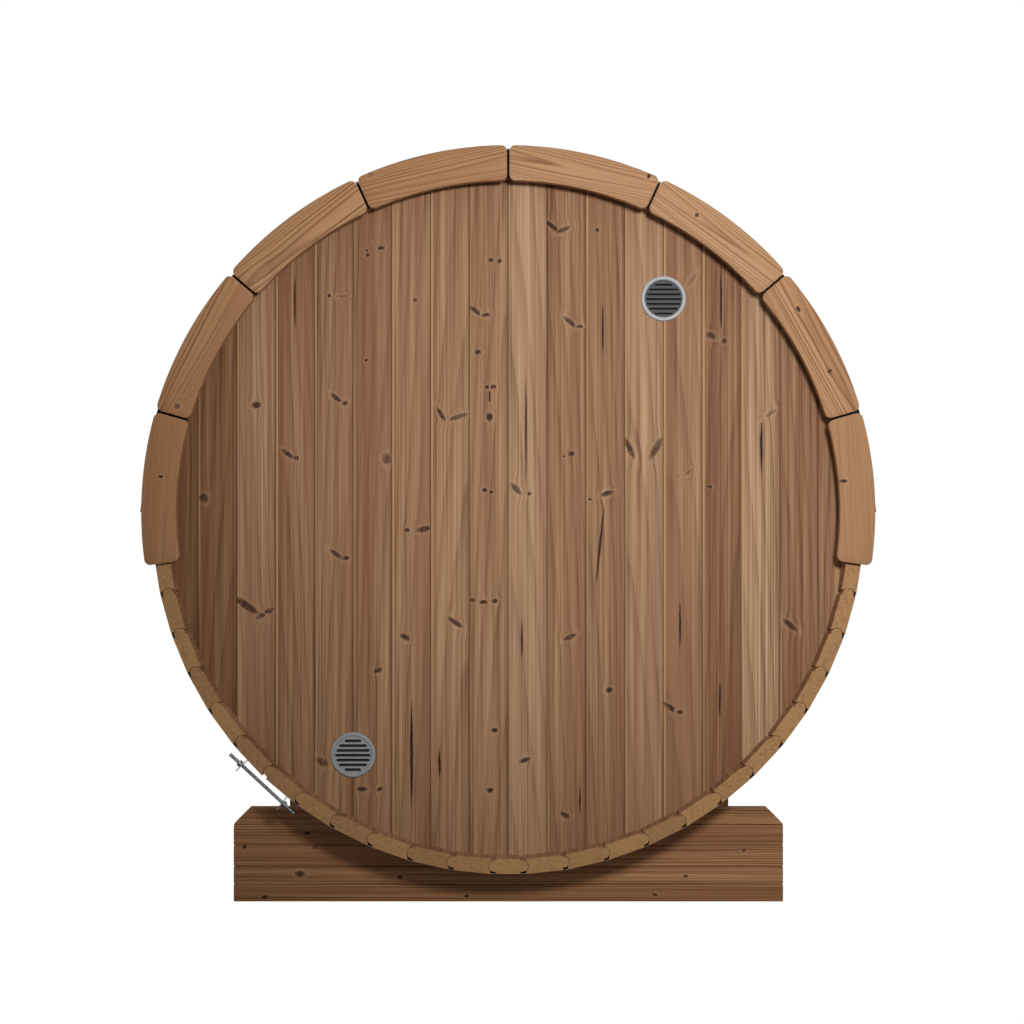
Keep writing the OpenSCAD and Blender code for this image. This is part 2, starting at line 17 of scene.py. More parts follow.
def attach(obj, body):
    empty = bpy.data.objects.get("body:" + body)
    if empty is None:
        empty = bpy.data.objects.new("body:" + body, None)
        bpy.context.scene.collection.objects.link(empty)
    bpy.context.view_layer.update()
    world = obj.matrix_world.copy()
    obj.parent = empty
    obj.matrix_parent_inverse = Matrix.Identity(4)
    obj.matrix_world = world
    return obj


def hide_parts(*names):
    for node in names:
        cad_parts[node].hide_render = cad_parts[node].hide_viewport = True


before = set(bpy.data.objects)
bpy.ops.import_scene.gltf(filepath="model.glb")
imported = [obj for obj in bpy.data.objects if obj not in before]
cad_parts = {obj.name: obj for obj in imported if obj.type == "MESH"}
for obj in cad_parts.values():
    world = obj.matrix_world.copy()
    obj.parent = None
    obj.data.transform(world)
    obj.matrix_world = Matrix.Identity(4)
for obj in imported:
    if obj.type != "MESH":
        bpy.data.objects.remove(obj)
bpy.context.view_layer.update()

# %% [markdown]
# ## Camera
# The photograph looks square on at the back end, which lies at -Y. The camera stands 5.4 m from the
# stave ends at half height, so the small view of the staves' inner faces comes out as it should.

# %% Camera
camera_data = bpy.data.cameras.new("camera")
camera_data.lens = 67.8
camera_data.sensor_width = 36
camera = bpy.data.objects.new("camera", camera_data)
camera.location = (0.0106, -6.4, 1.1414)
camera.rotation_euler = (math.radians(90), 0, 0)
bpy.context.collection.objects.link(camera)
bpy.context.scene.camera = camera
bpy.context.scene.view_settings.view_transform = "Standard"
print("camera at", tuple(camera.location))

# %% [markdown]
# ## Nodes and colours
# One function adds a node with its settings and links. Colours are written as sRGB hex, as a paint
# card gives them, and one function turns them to the linear values that the shaders work in.


# %% Small helpers for materials
def linear(code):
    """Linear RGBA of an sRGB hex colour."""
    parts = [int(code[i : i + 2], 16) / 255 for i in (1, 3, 5)]
    return [c / 12.92 if c <= 0.04045 else ((c + 0.055) / 1.055) ** 2.4 for c in parts] + [1]


def add(tree, kind, links=(), stops=None, **settings):
    """Adds a node. links gives its inputs, in order or by name: a value, a node or an output."""
    node = tree.nodes.new("ShaderNode" + kind)
    for name, value in settings.items():
        setattr(node, name, value)
    for name, value in links.items() if isinstance(links, dict) else enumerate(links):
        if isinstance(value, bpy.types.Node):
            value = next(o for o in value.outputs if o.enabled)
        if isinstance(value, bpy.types.NodeSocket):
            tree.links.new(value, node.inputs[name])
        else:
            node.inputs[name].default_value = value
    if stops:
        ramp = node.color_ramp
        while len(ramp.elements) < len(stops):
            ramp.elements.new(1)
        for element, (place, colour) in zip(ramp.elements, stops):
            element.position = place
            element.color = linear(colour)
    return node


def emptied(owner):
    """Clears the nodes of a material or world, and returns the function that adds to them."""
    owner.use_nodes = True
    owner.node_tree.nodes.clear()
    return partial(add, owner.node_tree)


print("white in linear light:", linear("#ffffff"))

# %% [markdown]
# ## Wood
# Every board is sawn from a log, so its figure is a cut through growth rings that are nearly
# cylinders. The shader therefore works in the board's own coordinates, kept in the attribute
# "board": X across the board, Y through it and Z along the grain, in metres from the heart of the
# log. The rings come out as straight lines on one board, arches on the next and arcs on the ends.
# A knot is a branch that the grain flows round. The attribute "knot" holds a point's place relative
# to the nearest knot, in that knot's radii, and "kind" says how dark it is and whether it is a crack.
# "grain" holds the board's tone, and marks end grain, the bevels that take a painted highlight and the edges
# that take painted shade.


# %% The wood shader
# The white surroundings mirror brighter than they light, so the sheen is held back
SOFT_SHEEN = 0.2


def wood(name, stops, ends, red, bevel, ring_mm, shares, wander_m, rough):
    """Planed softwood. stops are colours from early wood to the darkest streak, shares how much
    rings, lines and streaks tell, wander_m how far the rings stray from straight, bevel the colour
    of the painted highlight."""
    material = bpy.data.materials.new(name)
    node, dark = emptied(material), stops[-1][1]

    def over(colour, *coats):
        """Lays coats of colour over another, each where a value passes softly from low to high."""
        for value, low, high, strength, paint in coats:
            share = node("MapRange", (value, low, high, 0, strength), interpolation_type="SMOOTHSTEP")
            colour = node("Mix", {0: share, 6: colour, 7: linear(paint)}, data_type="RGBA")
        return colour

    board, knot, kind, grain = (
        node("Attribute", attribute_name=a).outputs["Vector"] for a in ("board", "knot", "kind", "grain")
    )
    place, near, sort, mark = (node("SeparateXYZ", (v,)).outputs for v in (board, knot, kind, grain))

    # The grain parts round a knot: close to it, points read the grain from nearer its middle
    oval = node("VectorMath", (knot, (1, 0.42, 0)), operation="MULTIPLY")
    away = node("VectorMath", (oval, oval), operation="DOT_PRODUCT").outputs["Value"]
    pull = node("Math", (node("Math", (away, -0.45), operation="MULTIPLY"),), operation="EXPONENT")
    aside = node("Math", (near[0], near[2]), operation="MULTIPLY")
    shift = node("Math", (aside, pull), operation="MULTIPLY")
    flow = node("CombineXYZ", (node("Math", (place[0], shift), operation="SUBTRACT"), place[1], place[2]))

    # Growth rings: pale early wood that darkens to a thin line of late wood, then starts again
    at = node("VectorMath", (flow, (7, 7, 0.9)), operation="MULTIPLY")
    wander = node("TexNoise", {"Vector": at, "Scale": 1, "Detail": 3, "Roughness": 0.55}).outputs["Color"]
    stray = node("VectorMath", (wander, (0.5, 0.5, 0.5)), operation="SUBTRACT")
    moved = node("VectorMath", (stray, (wander_m, wander_m, 0), flow), operation="MULTIPLY_ADD")
    across = node("VectorMath", (moved, (1, 1, 0)), operation="MULTIPLY")
    radius = node("VectorMath", (across,), operation="LENGTH").outputs["Value"]
    grown = node("Math", (place[2], 0.008, radius), operation="MULTIPLY_ADD")
    year = node("Math", (node("Math", (grown, 1000 / ring_mm), operation="MULTIPLY"),), operation="FRACT")
    late = node(
        "ValToRGB", (year,),
        stops=[(0, "#000000"), (0.5, "#2a2a2a"), (0.78, "#d0d0d0"), (0.9, "#ffffff"), (1, "#000000")],
    )

    # Lines of 5 mm, streaks of 13 mm and slow bands of 50 mm run along the board. Pores show on its
    # ends. The rest makes the outlines of knots and cracks uneven.
    lines, streaks, bands, flecks, pores, ragged, patchy, swaying = (
        node(
            "TexNoise",
            {
                "Vector": node("VectorMath", (source, per_metre), operation="MULTIPLY"),
                "Scale": 1, "Detail": detail, "Roughness": roughness,
            },
        )
        for source, per_metre, detail, roughness in (
            (moved, (230, 230, 1.3), 1.5, 0.5), (moved, (80, 80, 0.7), 2.5, 0.55),
            (board, (21, 21, 0.45), 2, 0.55), (flow, (420, 420, 24), 2, 0.55),
            (board, (230, 230, 40), 2, 0.6), (board, (330, 330, 200), 3, 0.55),
            (board, (190, 190, 150), 3, 0.6), (board, (0, 0, 24), 2, 0.55),
        )
    )
    figure = node("Math", (late, shares[0]), operation="MULTIPLY")
    figure = node("Math", (lines, shares[1], figure), operation="MULTIPLY_ADD")
    figure = node("Math", (streaks, shares[2], figure), operation="MULTIPLY_ADD")
    middle = shares[0] * 0.3 + shares[1] * 0.5 + shares[2] * 0.5
    face = node("ValToRGB", (node("MapRange", (figure, middle - 0.32, middle + 0.32)),), stops=stops)
    face = over(face, (bands, 0.42, 0.66, 0.6, red), (flecks, 0.66, 0.8, 0.3, dark))

    # Each board has its own tone: some are paler, some redder and darker
    value, hue, rich = (
        node("MapRange", (mark[0], 0, 1, low, high), clamp=False)
        for low, high in ((0.74, 1.24), (0.494, 0.503), (1.06, 0.92))
    )
    toned = node("HueSaturation", {"Hue": hue, "Saturation": rich, "Value": value, "Color": face})

    # A painted highlight lies on the bevels in places, and painted shade along the other edge
    highlit = node("Math", (mark[2], 0), operation="MAXIMUM")
    edge_shade = node("MapRange", (mark[2], 0, -1, 0, 0.6))
    edged = over(toned, (bands, 0.36, 0.62, highlit, bevel))
    edged = node("Mix", {0: edge_shade, 6: edged, 7: linear(dark)}, data_type="RGBA")

    # End grain: open pores as dark specks between faint rings
    sawn = node("ValToRGB", (node("Math", (late, -0.18, pores), operation="MULTIPLY_ADD"),), stops=ends)
    sawn = over(sawn, (streaks, 0.5, 0.68, 0.4, red))
    sawn = node("HueSaturation", {"Hue": hue, "Value": value, "Color": sawn})
    colour = node("Mix", {0: mark[1], 6: edged, 7: sawn}, data_type="RGBA")

    # A knot: pale halo, red-brown ring, dark ragged heart
    level = node("VectorMath", (knot, (1, 1, 0)), operation="MULTIPLY")
    gap = node("VectorMath", (level,), operation="LENGTH").outputs["Value"]
    uneven = node("Math", (ragged, 0.5), operation="SUBTRACT")
    gap = node("Math", (uneven, 1.6, gap), operation="MULTIPLY_ADD")
    halo = node("Math", (sort[2], 0.25), operation="MULTIPLY")
    ring = node("Math", (sort[0], 0.9), operation="MULTIPLY")
    heart = node("MapRange", (patchy, 0.33, 0.52, 0, sort[0]), interpolation_type="SMOOTHSTEP")

    # A crack: a dark line along the grain that wanders and tapers to its ends, in a red stain
    sway = node("Math", (swaying, 0.5), operation="SUBTRACT")
    sway = node("Math", (sway, 1.6, near[0]), operation="MULTIPLY_ADD")
    off = node("Math", (node("Math", (sway,), operation="ABSOLUTE"), 0.7), operation="MULTIPLY")
    taper = node("Math", (1, node("Math", (near[1], near[1]), operation="MULTIPLY")), operation="SUBTRACT")
    wide = node("Math", (node("Math", (ragged, 0.35), operation="ADD"), taper), operation="MULTIPLY")
    inside = node("Math", (wide, off), operation="SUBTRACT")
    stained = node("Math", (sort[1], 0.5), operation="MULTIPLY")
    colour = over(
        colour, (gap, 2.6, 1.2, halo, stops[0][1]), (gap, 1.45, 0.95, ring, "#5a3421"),
        (gap, 1.05, 0.65, heart, "#170c07"), (inside, -2.0, 0.2, stained, red),
        (inside, -0.2, 0.2, sort[1], "#24120a"),
    )

    bump = node("Bump", {"Strength": 0.25, "Distance": 0.0006, "Height": figure})
    dull = node("MapRange", (figure, 0, 1, rough - 0.08, rough + 0.1))
    surface = node(
        "BsdfPrincipled",
        {
            "Base Color": colour, "Roughness": dull, "IOR": 1.5,
            "Specular IOR Level": SOFT_SHEEN, "Normal": bump,
        },
    )
    node("OutputMaterial", (surface,))
    return material


# Heat-treated pine, planed: brown right through, fine straight grain with dark resin streaks
wall_pine = wood(
    "heat-treated_pine_planed",
    [(0, "#bd9771"), (0.35, "#a57e5a"), (0.65, "#8e6848"), (1, "#6b432a")],
    [(0.3, "#65442a"), (0.5, "#997245"), (0.75, "#b18854")],
    # bf996f is the painted highlight on the bevels; the last stop also colours the painted shade on the other
    # edge
    "#89593e", "#bf996f", 4.5, (0.16, 0.75, 0.6), 0.008, 0.58,
)
# The same timber in the staves, whose sawn ends show as golden end grain
stave_pine = wood(
    "heat-treated_pine_staves",
    [(0, "#c99a74"), (0.4, "#a97e5a"), (0.7, "#906948"), (1, "#6f4a38")],
    [(0.0, "#815e41"), (0.46, "#af8456"), (0.9, "#c69e6e")],
    "#905f42", "#bf9569", 5.0, (0.25, 0.7, 0.5), 0.010, 0.6,
)
# Flat-sawn and sanded fascia boards: long arches of late wood on a honey ground
fascia_pine = wood(
    "heat-treated_pine_sanded",
    [(0, "#be9367"), (0.4, "#b1845c"), (0.7, "#9e724c"), (1, "#7d5436")],
    [(0.3, "#734d2d"), (0.5, "#9f7649"), (0.75, "#b38959")],
    "#a5754d", "#b88b5f", 4.5, (0.48, 0.72, 0.36), 0.014, 0.55,
)
# Rough-planed cradle boards: wider rings and stronger streaks than on the walls
cradle_pine = wood(
    "heat-treated_pine_rough",
    [(0, "#d19f6f"), (0.4, "#ae7e52"), (0.7, "#916440"), (1, "#67432e")],
    [(0.3, "#6b492e"), (0.5, "#a5754a"), (0.75, "#bd8b5d")],
    # b98a5e is the painted highlight on the faces that look up
    "#9d6946", "#b98a5e", 6.0, (0.28, 0.9, 0.7), 0.010, 0.65,
)
print("woods:", wall_pine.name, stave_pine.name, fascia_pine.name, cradle_pine.name)

# %% [markdown]
# ## Bitumen, steel and plastic
# Shingles are felt soaked in bitumen and strewn with mineral grit, so they are black, dull and
# speckled. The bands are galvanised: zinc crystals show as a soft patchwork. The vents are moulded
# in grey ABS with a fine satin texture.


# %% The other materials
def coated(name, pale, dark, grit_mm, metal, rough, bump):
    """A surface whose colour and roughness vary with a grit of a given size."""
    material = bpy.data.materials.new(name)
    node = emptied(material)
    at = node("TexCoord").outputs["Object"]
    grit = node("TexNoise", {"Vector": at, "Scale": 1000 / grit_mm, "Detail": 3})
    patch = node("TexNoise", {"Vector": at, "Scale": 60 / grit_mm, "Detail": 2})
    both = node("Math", (patch, 0.5, grit), operation="MULTIPLY_ADD")
    colour = node("ValToRGB", (both,), stops=[(0.45, dark), (0.95, pale)])
    dull = node("MapRange", (grit, 0, 1, rough - 0.08, rough + 0.08))
    relief = node("Bump", {"Strength": bump, "Distance": grit_mm / 2000, "Height": grit})
    sheen = 0.5 if metal else SOFT_SHEEN
    surface = node(
        "BsdfPrincipled",
        {
            "Base Color": colour, "Metallic": metal, "Roughness": dull,
            "Specular IOR Level": sheen, "Normal": relief,
        },
    )
    node("OutputMaterial", (surface,))
    return material


# Grit of 1 to 2 mm is drawn at 5 mm, so that it still shows from across a garden
shingle_felt = coated("bitumen_shingle_gritted", "#3a3a3b", "#121213", 5, 0.0, 0.85, 0.6)
# Black powder coat on the roof's edge: even, with a faint orange-peel
edge_black = coated("powder_coat_black", "#0e0e0f", "#060607", 3, 0.0, 0.75, 0.15)
# Hot-dip galvanised steel: blue-grey with a spangle of about 12 mm
band_zinc = coated("galvanised_steel_band", "#9aa1a6", "#5d646a", 12, 1.0, 0.38, 0.05)
# Zinc-plated rod, nuts and washers: darker in the threads
rod_zinc = coated("zinc_plated_steel_thread", "#9da3a7", "#62676b", 6, 1.0, 0.35, 0.1)
# Moulded ABS: satin grey with a fine eroded texture
vent_light = coated("ABS_light_grey_moulded", "#b9babc", "#a3a4a7", 1.5, 0.0, 0.45, 0.05)
# Slate grey for the upper grille, also used as painted shade on the walls of the lower slots
slats_and_slot_shade = coated("ABS_slate_grey_and_slot_shade", "#3f4143", "#323436", 1.5, 0.0, 0.5, 0.05)
vent_grey = coated("ABS_mid_grey_moulded", "#a0a2a4", "#86888a", 1.5, 0.0, 0.45, 0.05)
# The inside of the vent pipes, painted near-black as the shade inside them
vent_shade = coated("ABS_pipe_painted_shade", "#262627", "#151516", 2, 0.0, 0.7, 0.05)
# Bare plywood under the shingles
deck_ply = coated("plywood_sheathing", "#c9ac7c", "#a98a5c", 20, 0.0, 0.7, 0.1)
print("materials in all:", len(bpy.data.materials))

# %% [markdown]
# ## Operators on one piece
# An operator acts on all that is selected, and the loaded frame is selected, so each helper first
# leaves only its own piece selected. An outline is drawn as by hand: one vertex is extruded from
# corner to corner, the ring is closed and filled, and the face is extruded to the board's length.


# %% Helpers for modelling
X, Y, Z = Vector((1, 0, 0)), Vector((0, 1, 0)), Vector((0, 0, 1))


def only(piece):
    """Leaves one object selected and active."""
    bpy.ops.object.select_all(action="DESELECT")
    piece.select_set(True)
    bpy.context.view_layer.objects.active = piece
    return piece


def started(name):
    """Names the primitive that was just added, and opens it for editing."""
    piece = bpy.context.object
    piece.name = piece.data.name = name
    bpy.ops.object.mode_set(mode="EDIT")
    return piece


def finished(piece):
    """Makes the normals point outwards and closes edit mode."""
    bpy.ops.mesh.select_all(action="SELECT")
    bpy.ops.mesh.normals_make_consistent(inside=False)
    bpy.ops.object.mode_set(mode="OBJECT")
    return piece


def pick(piece, kind, test):
    """In edit mode, selects only the faces, edges or vertices that pass a test."""
    bpy.ops.mesh.select_all(action="DESELECT")
    mesh = bmesh.from_edit_mesh(piece.data)
    chosen = [part for part in getattr(mesh, kind) if test(part)]
    for part in chosen:
        part.select_set(True)
    bmesh.update_edit_mesh(piece.data)
    return len(chosen)


def drawn(name, corners):
    """Extrudes one vertex from corner to corner, and stays in edit mode."""
    bpy.ops.object.select_all(action="DESELECT")
    bpy.ops.mesh.primitive_plane_add(size=0.01)
    piece = started(name)
    bpy.ops.mesh.merge(type="CENTER")
    bpy.ops.transform.translate(value=corners[0])
    for before, after in zip(corners, corners[1:]):
        bpy.ops.mesh.extrude_vertices_move(TRANSFORM_OT_translate={"value": after - before})
    return piece


def traced(name, outline, across, up, start, end):
    """Draws a closed outline in two directions and extrudes it along the third, from start to end."""
    across, up = Vector(across), Vector(up)
    along = across.cross(up)
    piece = drawn(name, [a * across + b * up + start * along for a, b in outline])
    pick(piece, "verts", lambda v: len(v.link_edges) < 2)
    bpy.ops.mesh.edge_face_add()
    bpy.ops.mesh.select_all(action="SELECT")
    bpy.ops.mesh.edge_face_add()
    bpy.ops.mesh.extrude_region_move(TRANSFORM_OT_translate={"value": (end - start) * along})
    return finished(piece)


def cut_lines(piece, direction, places):
    """Cuts edges across a piece at several places, so that its faces can hold different knots."""
    only(piece)
    bpy.ops.object.mode_set(mode="EDIT")
    for place in places:
        bpy.ops.mesh.select_all(action="SELECT")
        bpy.ops.mesh.bisect(plane_co=Vector(direction) * place, plane_no=direction)
    bpy.ops.object.mode_set(mode="OBJECT")
    return piece


def carved(piece, cutter, operation="DIFFERENCE", keep=False):
    """Cuts a piece with another one, which then goes unless it is kept."""
    only(piece)
    cut = piece.modifiers.new("cut", "BOOLEAN")
    cut.operation, cut.object, cut.solver = operation, cutter, "EXACT"
    bpy.ops.object.modifier_apply(modifier="cut")
    if not keep:
        discard(cutter)
    return piece


def softened(piece, width, segments, test):
    """Bevels the edges that pass a test."""
    only(piece)
    bpy.ops.object.mode_set(mode="EDIT")
    bpy.ops.mesh.select_mode(type="EDGE")
    pick(piece, "edges", test)
    bpy.ops.mesh.bevel(offset=width, segments=segments, affect="EDGES")
    bpy.ops.mesh.select_mode(type="VERT")
    return finished(piece)


def copy_of(piece, name):
    """A second piece with its own mesh."""
    twin = piece.copy()
    twin.data = piece.data.copy()
    twin.name = twin.data.name = name
    bpy.context.collection.objects.link(twin)
    return twin


def placed(piece, matrix):
    """Moves a piece and applies the move, so that its object stays at the origin."""
    piece.matrix_world = matrix
    only(piece)
    bpy.ops.object.transform_apply(location=True, rotation=True, scale=True)
    if matrix.determinant() < 0:
        bpy.ops.object.mode_set(mode="EDIT")
        finished(piece)
    return piece


def block(size, middle):
    """A plain box, used to cut with."""
    bpy.ops.object.select_all(action="DESELECT")
    bpy.ops.mesh.primitive_cube_add(size=1)
    return placed(bpy.context.object, Matrix.Translation(middle) @ Matrix.Diagonal((*size, 1)))


def rod_along(direction, radius, length, middle, corners):
    """A plain round bar, used to cut with."""
    bpy.ops.object.select_all(action="DESELECT")
    bpy.ops.mesh.primitive_cylinder_add(vertices=corners, radius=radius, depth=length)
    bar = bpy.context.object
    turn = Z.rotation_difference(direction).to_matrix().to_4x4()
    return placed(bar, Matrix.Translation(middle) @ turn)


def oblong(x0, z0, x1, z1):
    """Outline of a rectangle between two corners."""
    return [(x0, z0), (x1, z0), (x1, z1), (x0, z1)]


def discard(*pieces):
    """Deletes pieces that only served to be copied or to cut."""
    for piece in pieces:
        bpy.data.objects.remove(piece)


def joined(pieces, name):
    """Makes one object of several."""
    only(pieces[0])
    for piece in pieces[1:]:
        piece.select_set(True)
    if len(pieces) > 1:
        bpy.ops.object.join()
    pieces[0].name = pieces[0].data.name = name
    return pieces[0]


def shown(piece, material, slot, *nodes, angle=35):
    """Gives a piece its finish and its smooth shading, hangs it under the root and hides the frame's nodes it
    stands for.
    """
    if material:
        piece.data.materials.clear()
        piece.data.materials.append(material)
    only(piece)
    bpy.ops.object.shade_smooth_by_angle(angle=math.radians(angle))
    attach(piece, "root")
    if nodes:
        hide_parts(*nodes)
    return piece


print("helpers ready")

# %% [markdown]
# ## Dressing a board
# Before a board is moved into place, its own coordinates are written on its mesh for the wood
# shader. Each face also takes the knot that lies nearest to it. A knot is given by its place across
# and along the board, its two radii and its slant, and by how dark it is.


# %% Attributes that the wood shader reads
# Painted shade starts this far right of a board's middle and deepens over this width
SHADE_FROM, SHADE_W = 0.0465, 0.0075


def written(mesh, name, domain, values):
    """Writes a vector attribute."""
    layer = mesh.attributes.get(name) or mesh.attributes.new(name, "FLOAT_VECTOR", domain)
    layer.data.foreach_set("vector", np.ascontiguousarray(values, np.float32).ravel())


def read(parts, name, width, kind=np.float64):
    """Reads one property of all vertices, corners or faces."""
    values = np.empty(len(parts) * width, kind)
    parts.foreach_get(name, values)
    return values.reshape(-1, width)


def random_knots(draw, half_width, low, high, spacing, radius):
    """Seeded knots for a board: mostly small ovals, now and then a pair, a spike or a crack."""
    knots, at = [], low + draw.uniform(0.2, 1) * spacing
    while at < high:
        a, r = draw.uniform(-0.8, 0.8) * half_width, radius * draw.uniform(0.55, 1.5)
        shape = draw.random()
        if shape < 0.25:
            knots.append((a, at, r * 2.6, r * 0.6, draw.uniform(-35, 35), 0.8, 0))
        elif shape < 0.35:
            knots.append((a, at, 0.0022, draw.uniform(0.05, 0.16), 0, 0, 1))
        else:
            knots.append((a, at, r, r * draw.uniform(0.6, 1.1), draw.uniform(-25, 25), draw.uniform(0.7, 1), 0))
        at += spacing * draw.uniform(0.4, 1.7)
    return knots


def in_metres(rows, middle=0, lengthwise=False):
    """Knots that are given in mm, measured from the middle of their board. Lengthwise rows give the
    place along the board first, others the place across it."""
    knots = []
    for a, b, *radii_and_rest in rows:
        across, along = (b, a) if lengthwise else (a, b)
        radii, rest = radii_and_rest[:2], radii_and_rest[2:]
        knots.append((across / 1000 - middle, along / 1000, *[r / 1000 for r in radii], *rest))
    return knots


def dressed(piece, across, along, seed, centre=(0, 0, 0), knots=(), tone=None, bevel=None, flat=False):
    """Writes the board's own coordinates, tone and knots on its mesh. A flat-sawn board has the
    heart of the log under it, others have it to one side."""
    mesh, draw = piece.data, random.Random(seed)
    across, along = Vector(across), Vector(along)
    turn = np.array([across, along.cross(across), along])
    corners = (read(mesh.vertices, "co", 3) - np.array(centre)) @ turn.T
    aside = draw.uniform(-0.03, 0.03) if flat else draw.choice((-1, 1)) * draw.uniform(0.08, 0.15)
    heart = (aside, draw.choice((-1, 1)) * draw.uniform(0.03, 0.07), draw.uniform(0, 40))
    written(mesh, "board", "POINT", corners + heart)
    tone = draw.random() if tone is None else tone
    owner = np.repeat(np.arange(len(mesh.polygons)), read(mesh.polygons, "loop_total", 1, np.int32)[:, 0])
    normals = read(mesh.polygons, "normal", 3)
    ends = np.abs(normals @ turn[2]) > 0.7
    # Faces that look along the bevel direction take a painted highlight
    highlit = np.zeros(len(ends)) if bevel is None else (normals @ np.array(bevel) > 0.97).astype(float)
    vertex = read(mesh.loops, "vertex_index", 1, np.int32)[:, 0]
    marks = np.c_[np.full(len(ends), tone), ends, highlit][owner]
    # The right edge of a board takes painted shade, darkest at the joint
    if bevel is not None:
        marks[:, 2] -= np.clip((corners[vertex, 0] - SHADE_FROM) / SHADE_W, 0, 1)
    written(mesh, "grain", "CORNER", marks)
    near, kind = np.zeros((len(owner), 3)), np.zeros((len(owner), 3))
    near[:, 0] = 99
    if len(knots):
        table = np.array(knots)
        slant = np.radians(table[:, 4])
        middles = (read(mesh.polygons, "center", 3) - np.array(centre)) @ turn.T

        def in_radii(points, which):
            off = points[:, [0, 2]] - table[which, :2]
            c, s = np.cos(slant[which]), np.sin(slant[which])
            return np.c_[off[:, 0] * c + off[:, 1] * s, off[:, 1] * c - off[:, 0] * s] / table[which, 2:4]

        rows = np.arange(len(middles))
        far = np.array([(in_radii(middles, np.full(len(rows), k)) ** 2).sum(1) for k in range(len(table))])
        nearest = far.argmin(0)
        which = nearest[owner]
        near[:, :2] = in_radii(corners[vertex], which)
        near[:, 2] = np.minimum(table[which, 2], 0.010) * (1 - table[which, 6])
        kind = np.c_[table[which, 5], table[which, 6], 1 - table[which, 6]]
    written(mesh, "knot", "CORNER", near)
    written(mesh, "kind", "CORNER", kind)
    return piece


print("boards can be dressed")

# %% [markdown]
# ## Staves
# The round wall is laid up from 53 staves with a bead on one edge and a cove on the other, so that
# each rolls against the next without a gap. They could be cut from one tube, but then the joints
# would only be painted on. One stave is traced from its end, grooved for the end walls and copied
# round the barrel, mirrored for the left side. The starter at the bottom has two beads and the last
# one at the top has two coves.

# %% The stave's outline
AXIS_H, BARREL_R, BARREL_HALF = 1.124, 0.996, 1.0
STAVE_T, JOINT = 0.042, 0.001
BEAD_R, BEAD_OUT, SHOULDER, LIP, LIP_W, ARC_STEPS = 0.0155, 0.012, 0.011, 0.003, 0.011, 10
STAVES_PER_SIDE, STARTER_W = 26, 0.090
PLANK_CUTS = [i * 0.0625 for i in range(-15, 16)]
WALL_MID, WALL_T, CROZE = 0.916, 0.034, 0.012
INNER_R, MID_R = BARREL_R - STAVE_T, BARREL_R - STAVE_T / 2
starter_angle = 2 * math.atan(STARTER_W / 2 / BARREL_R)
stave_angle = (2 * math.pi - starter_angle) / (2 * STAVES_PER_SIDE)


def stave_edge(half, bead):
    """One long edge of a stave, from its outer to its inner face, with a bead or a cove.

    u is measured out of the joint plane and w along it from the middle of the stave. The bead stands
    on shoulders that lie deeper than the lips of the cove, so a small V stays open on both faces.
    """
    out, up = Vector((math.cos(half), -math.sin(half))), Vector((math.sin(half), math.cos(half)))
    radius = BEAD_R if bead else BEAD_R + JOINT
    limit = math.pi / 2 if bead else math.asin(LIP_W / radius)
    turns = [limit - 2 * limit * i / ARC_STEPS for i in range(ARC_STEPS + 1)]
    arc = [(BEAD_OUT - BEAD_R + radius * math.cos(a), radius * math.sin(a)) for a in turns]
    face_u = -SHOULDER if bead else LIP
    shoulder = [(0.002 - SHOULDER, BEAD_R)] if bead else []
    level = lambda r: ((r + (face_u if bead else -face_u) * math.sin(half)) / math.cos(half)) - MID_R
    middle = [*shoulder, *arc, *[(u, -w) for u, w in shoulder]]
    edge = [(face_u, level(BARREL_R)), *middle, (face_u, level(INNER_R))]
    way = 1 if bead else -1
    return [(MID_R + w) * up + way * u * out for u, w in edge]


def stave(name, angle, upper_bead, lower_bead):
    """A stave at the top of the barrel's axis, with its upper edge at -X."""
    outline = stave_edge(angle / 2, lower_bead)
    outline += [Vector((-p.x, p.y)) for p in reversed(stave_edge(angle / 2, upper_bead))]
    piece = traced(name, outline, X, Z, -BARREL_HALF, BARREL_HALF)
    for end in (-1, 1):
        carved(piece, block((0.3, WALL_T + 0.001, 2 * CROZE), (0, end * WALL_MID, INNER_R)))
    return cut_lines(piece, Y, PLANK_CUTS)


def round_barrel(degrees):
    """Turns a piece from the top of the axis to an angle from the bottom, positive to the right."""
    turn = Matrix.Rotation(math.pi - math.radians(degrees), 4, "Y")
    return Matrix.Translation((0, 0, AXIS_H)) @ turn


MIRROR = Matrix.Scale(-1, 4, X)


def sided(matrix, side):
    """A place on the right of the barrel, mirrored for the left."""
    return MIRROR @ matrix if side == "left" else matrix


plain_stave = stave("stave", stave_angle, True, False)
print("one stave has", len(plain_stave.data.polygons), "faces")

# %% Copy the staves round the barrel
RUNS = {"lowest": (1, 7), "low": (8, 13), "high": (14, 20), "highest": (21, 26)}
# Ends that were cut from redder planks, counted from the bottom
RED_STAVES = {"right": (4, 15), "left": (2, 4, 6, 7, 9, 11, 13)}


def set_stave(piece, side, degrees, seed, red):
    """Dresses a stave as its own plank and puts it in the round wall."""
    draw = random.Random(seed)
    knots = random_knots(draw, 0.05, -0.95, 0.95, 0.55, 0.008)
    tone = draw.uniform(0.3, 0.45) if red else draw.uniform(0.5, 0.8)
    dressed(piece, X, Y, seed, (0, 0, MID_R), knots, tone)
    return placed(piece, sided(round_barrel(degrees), side))


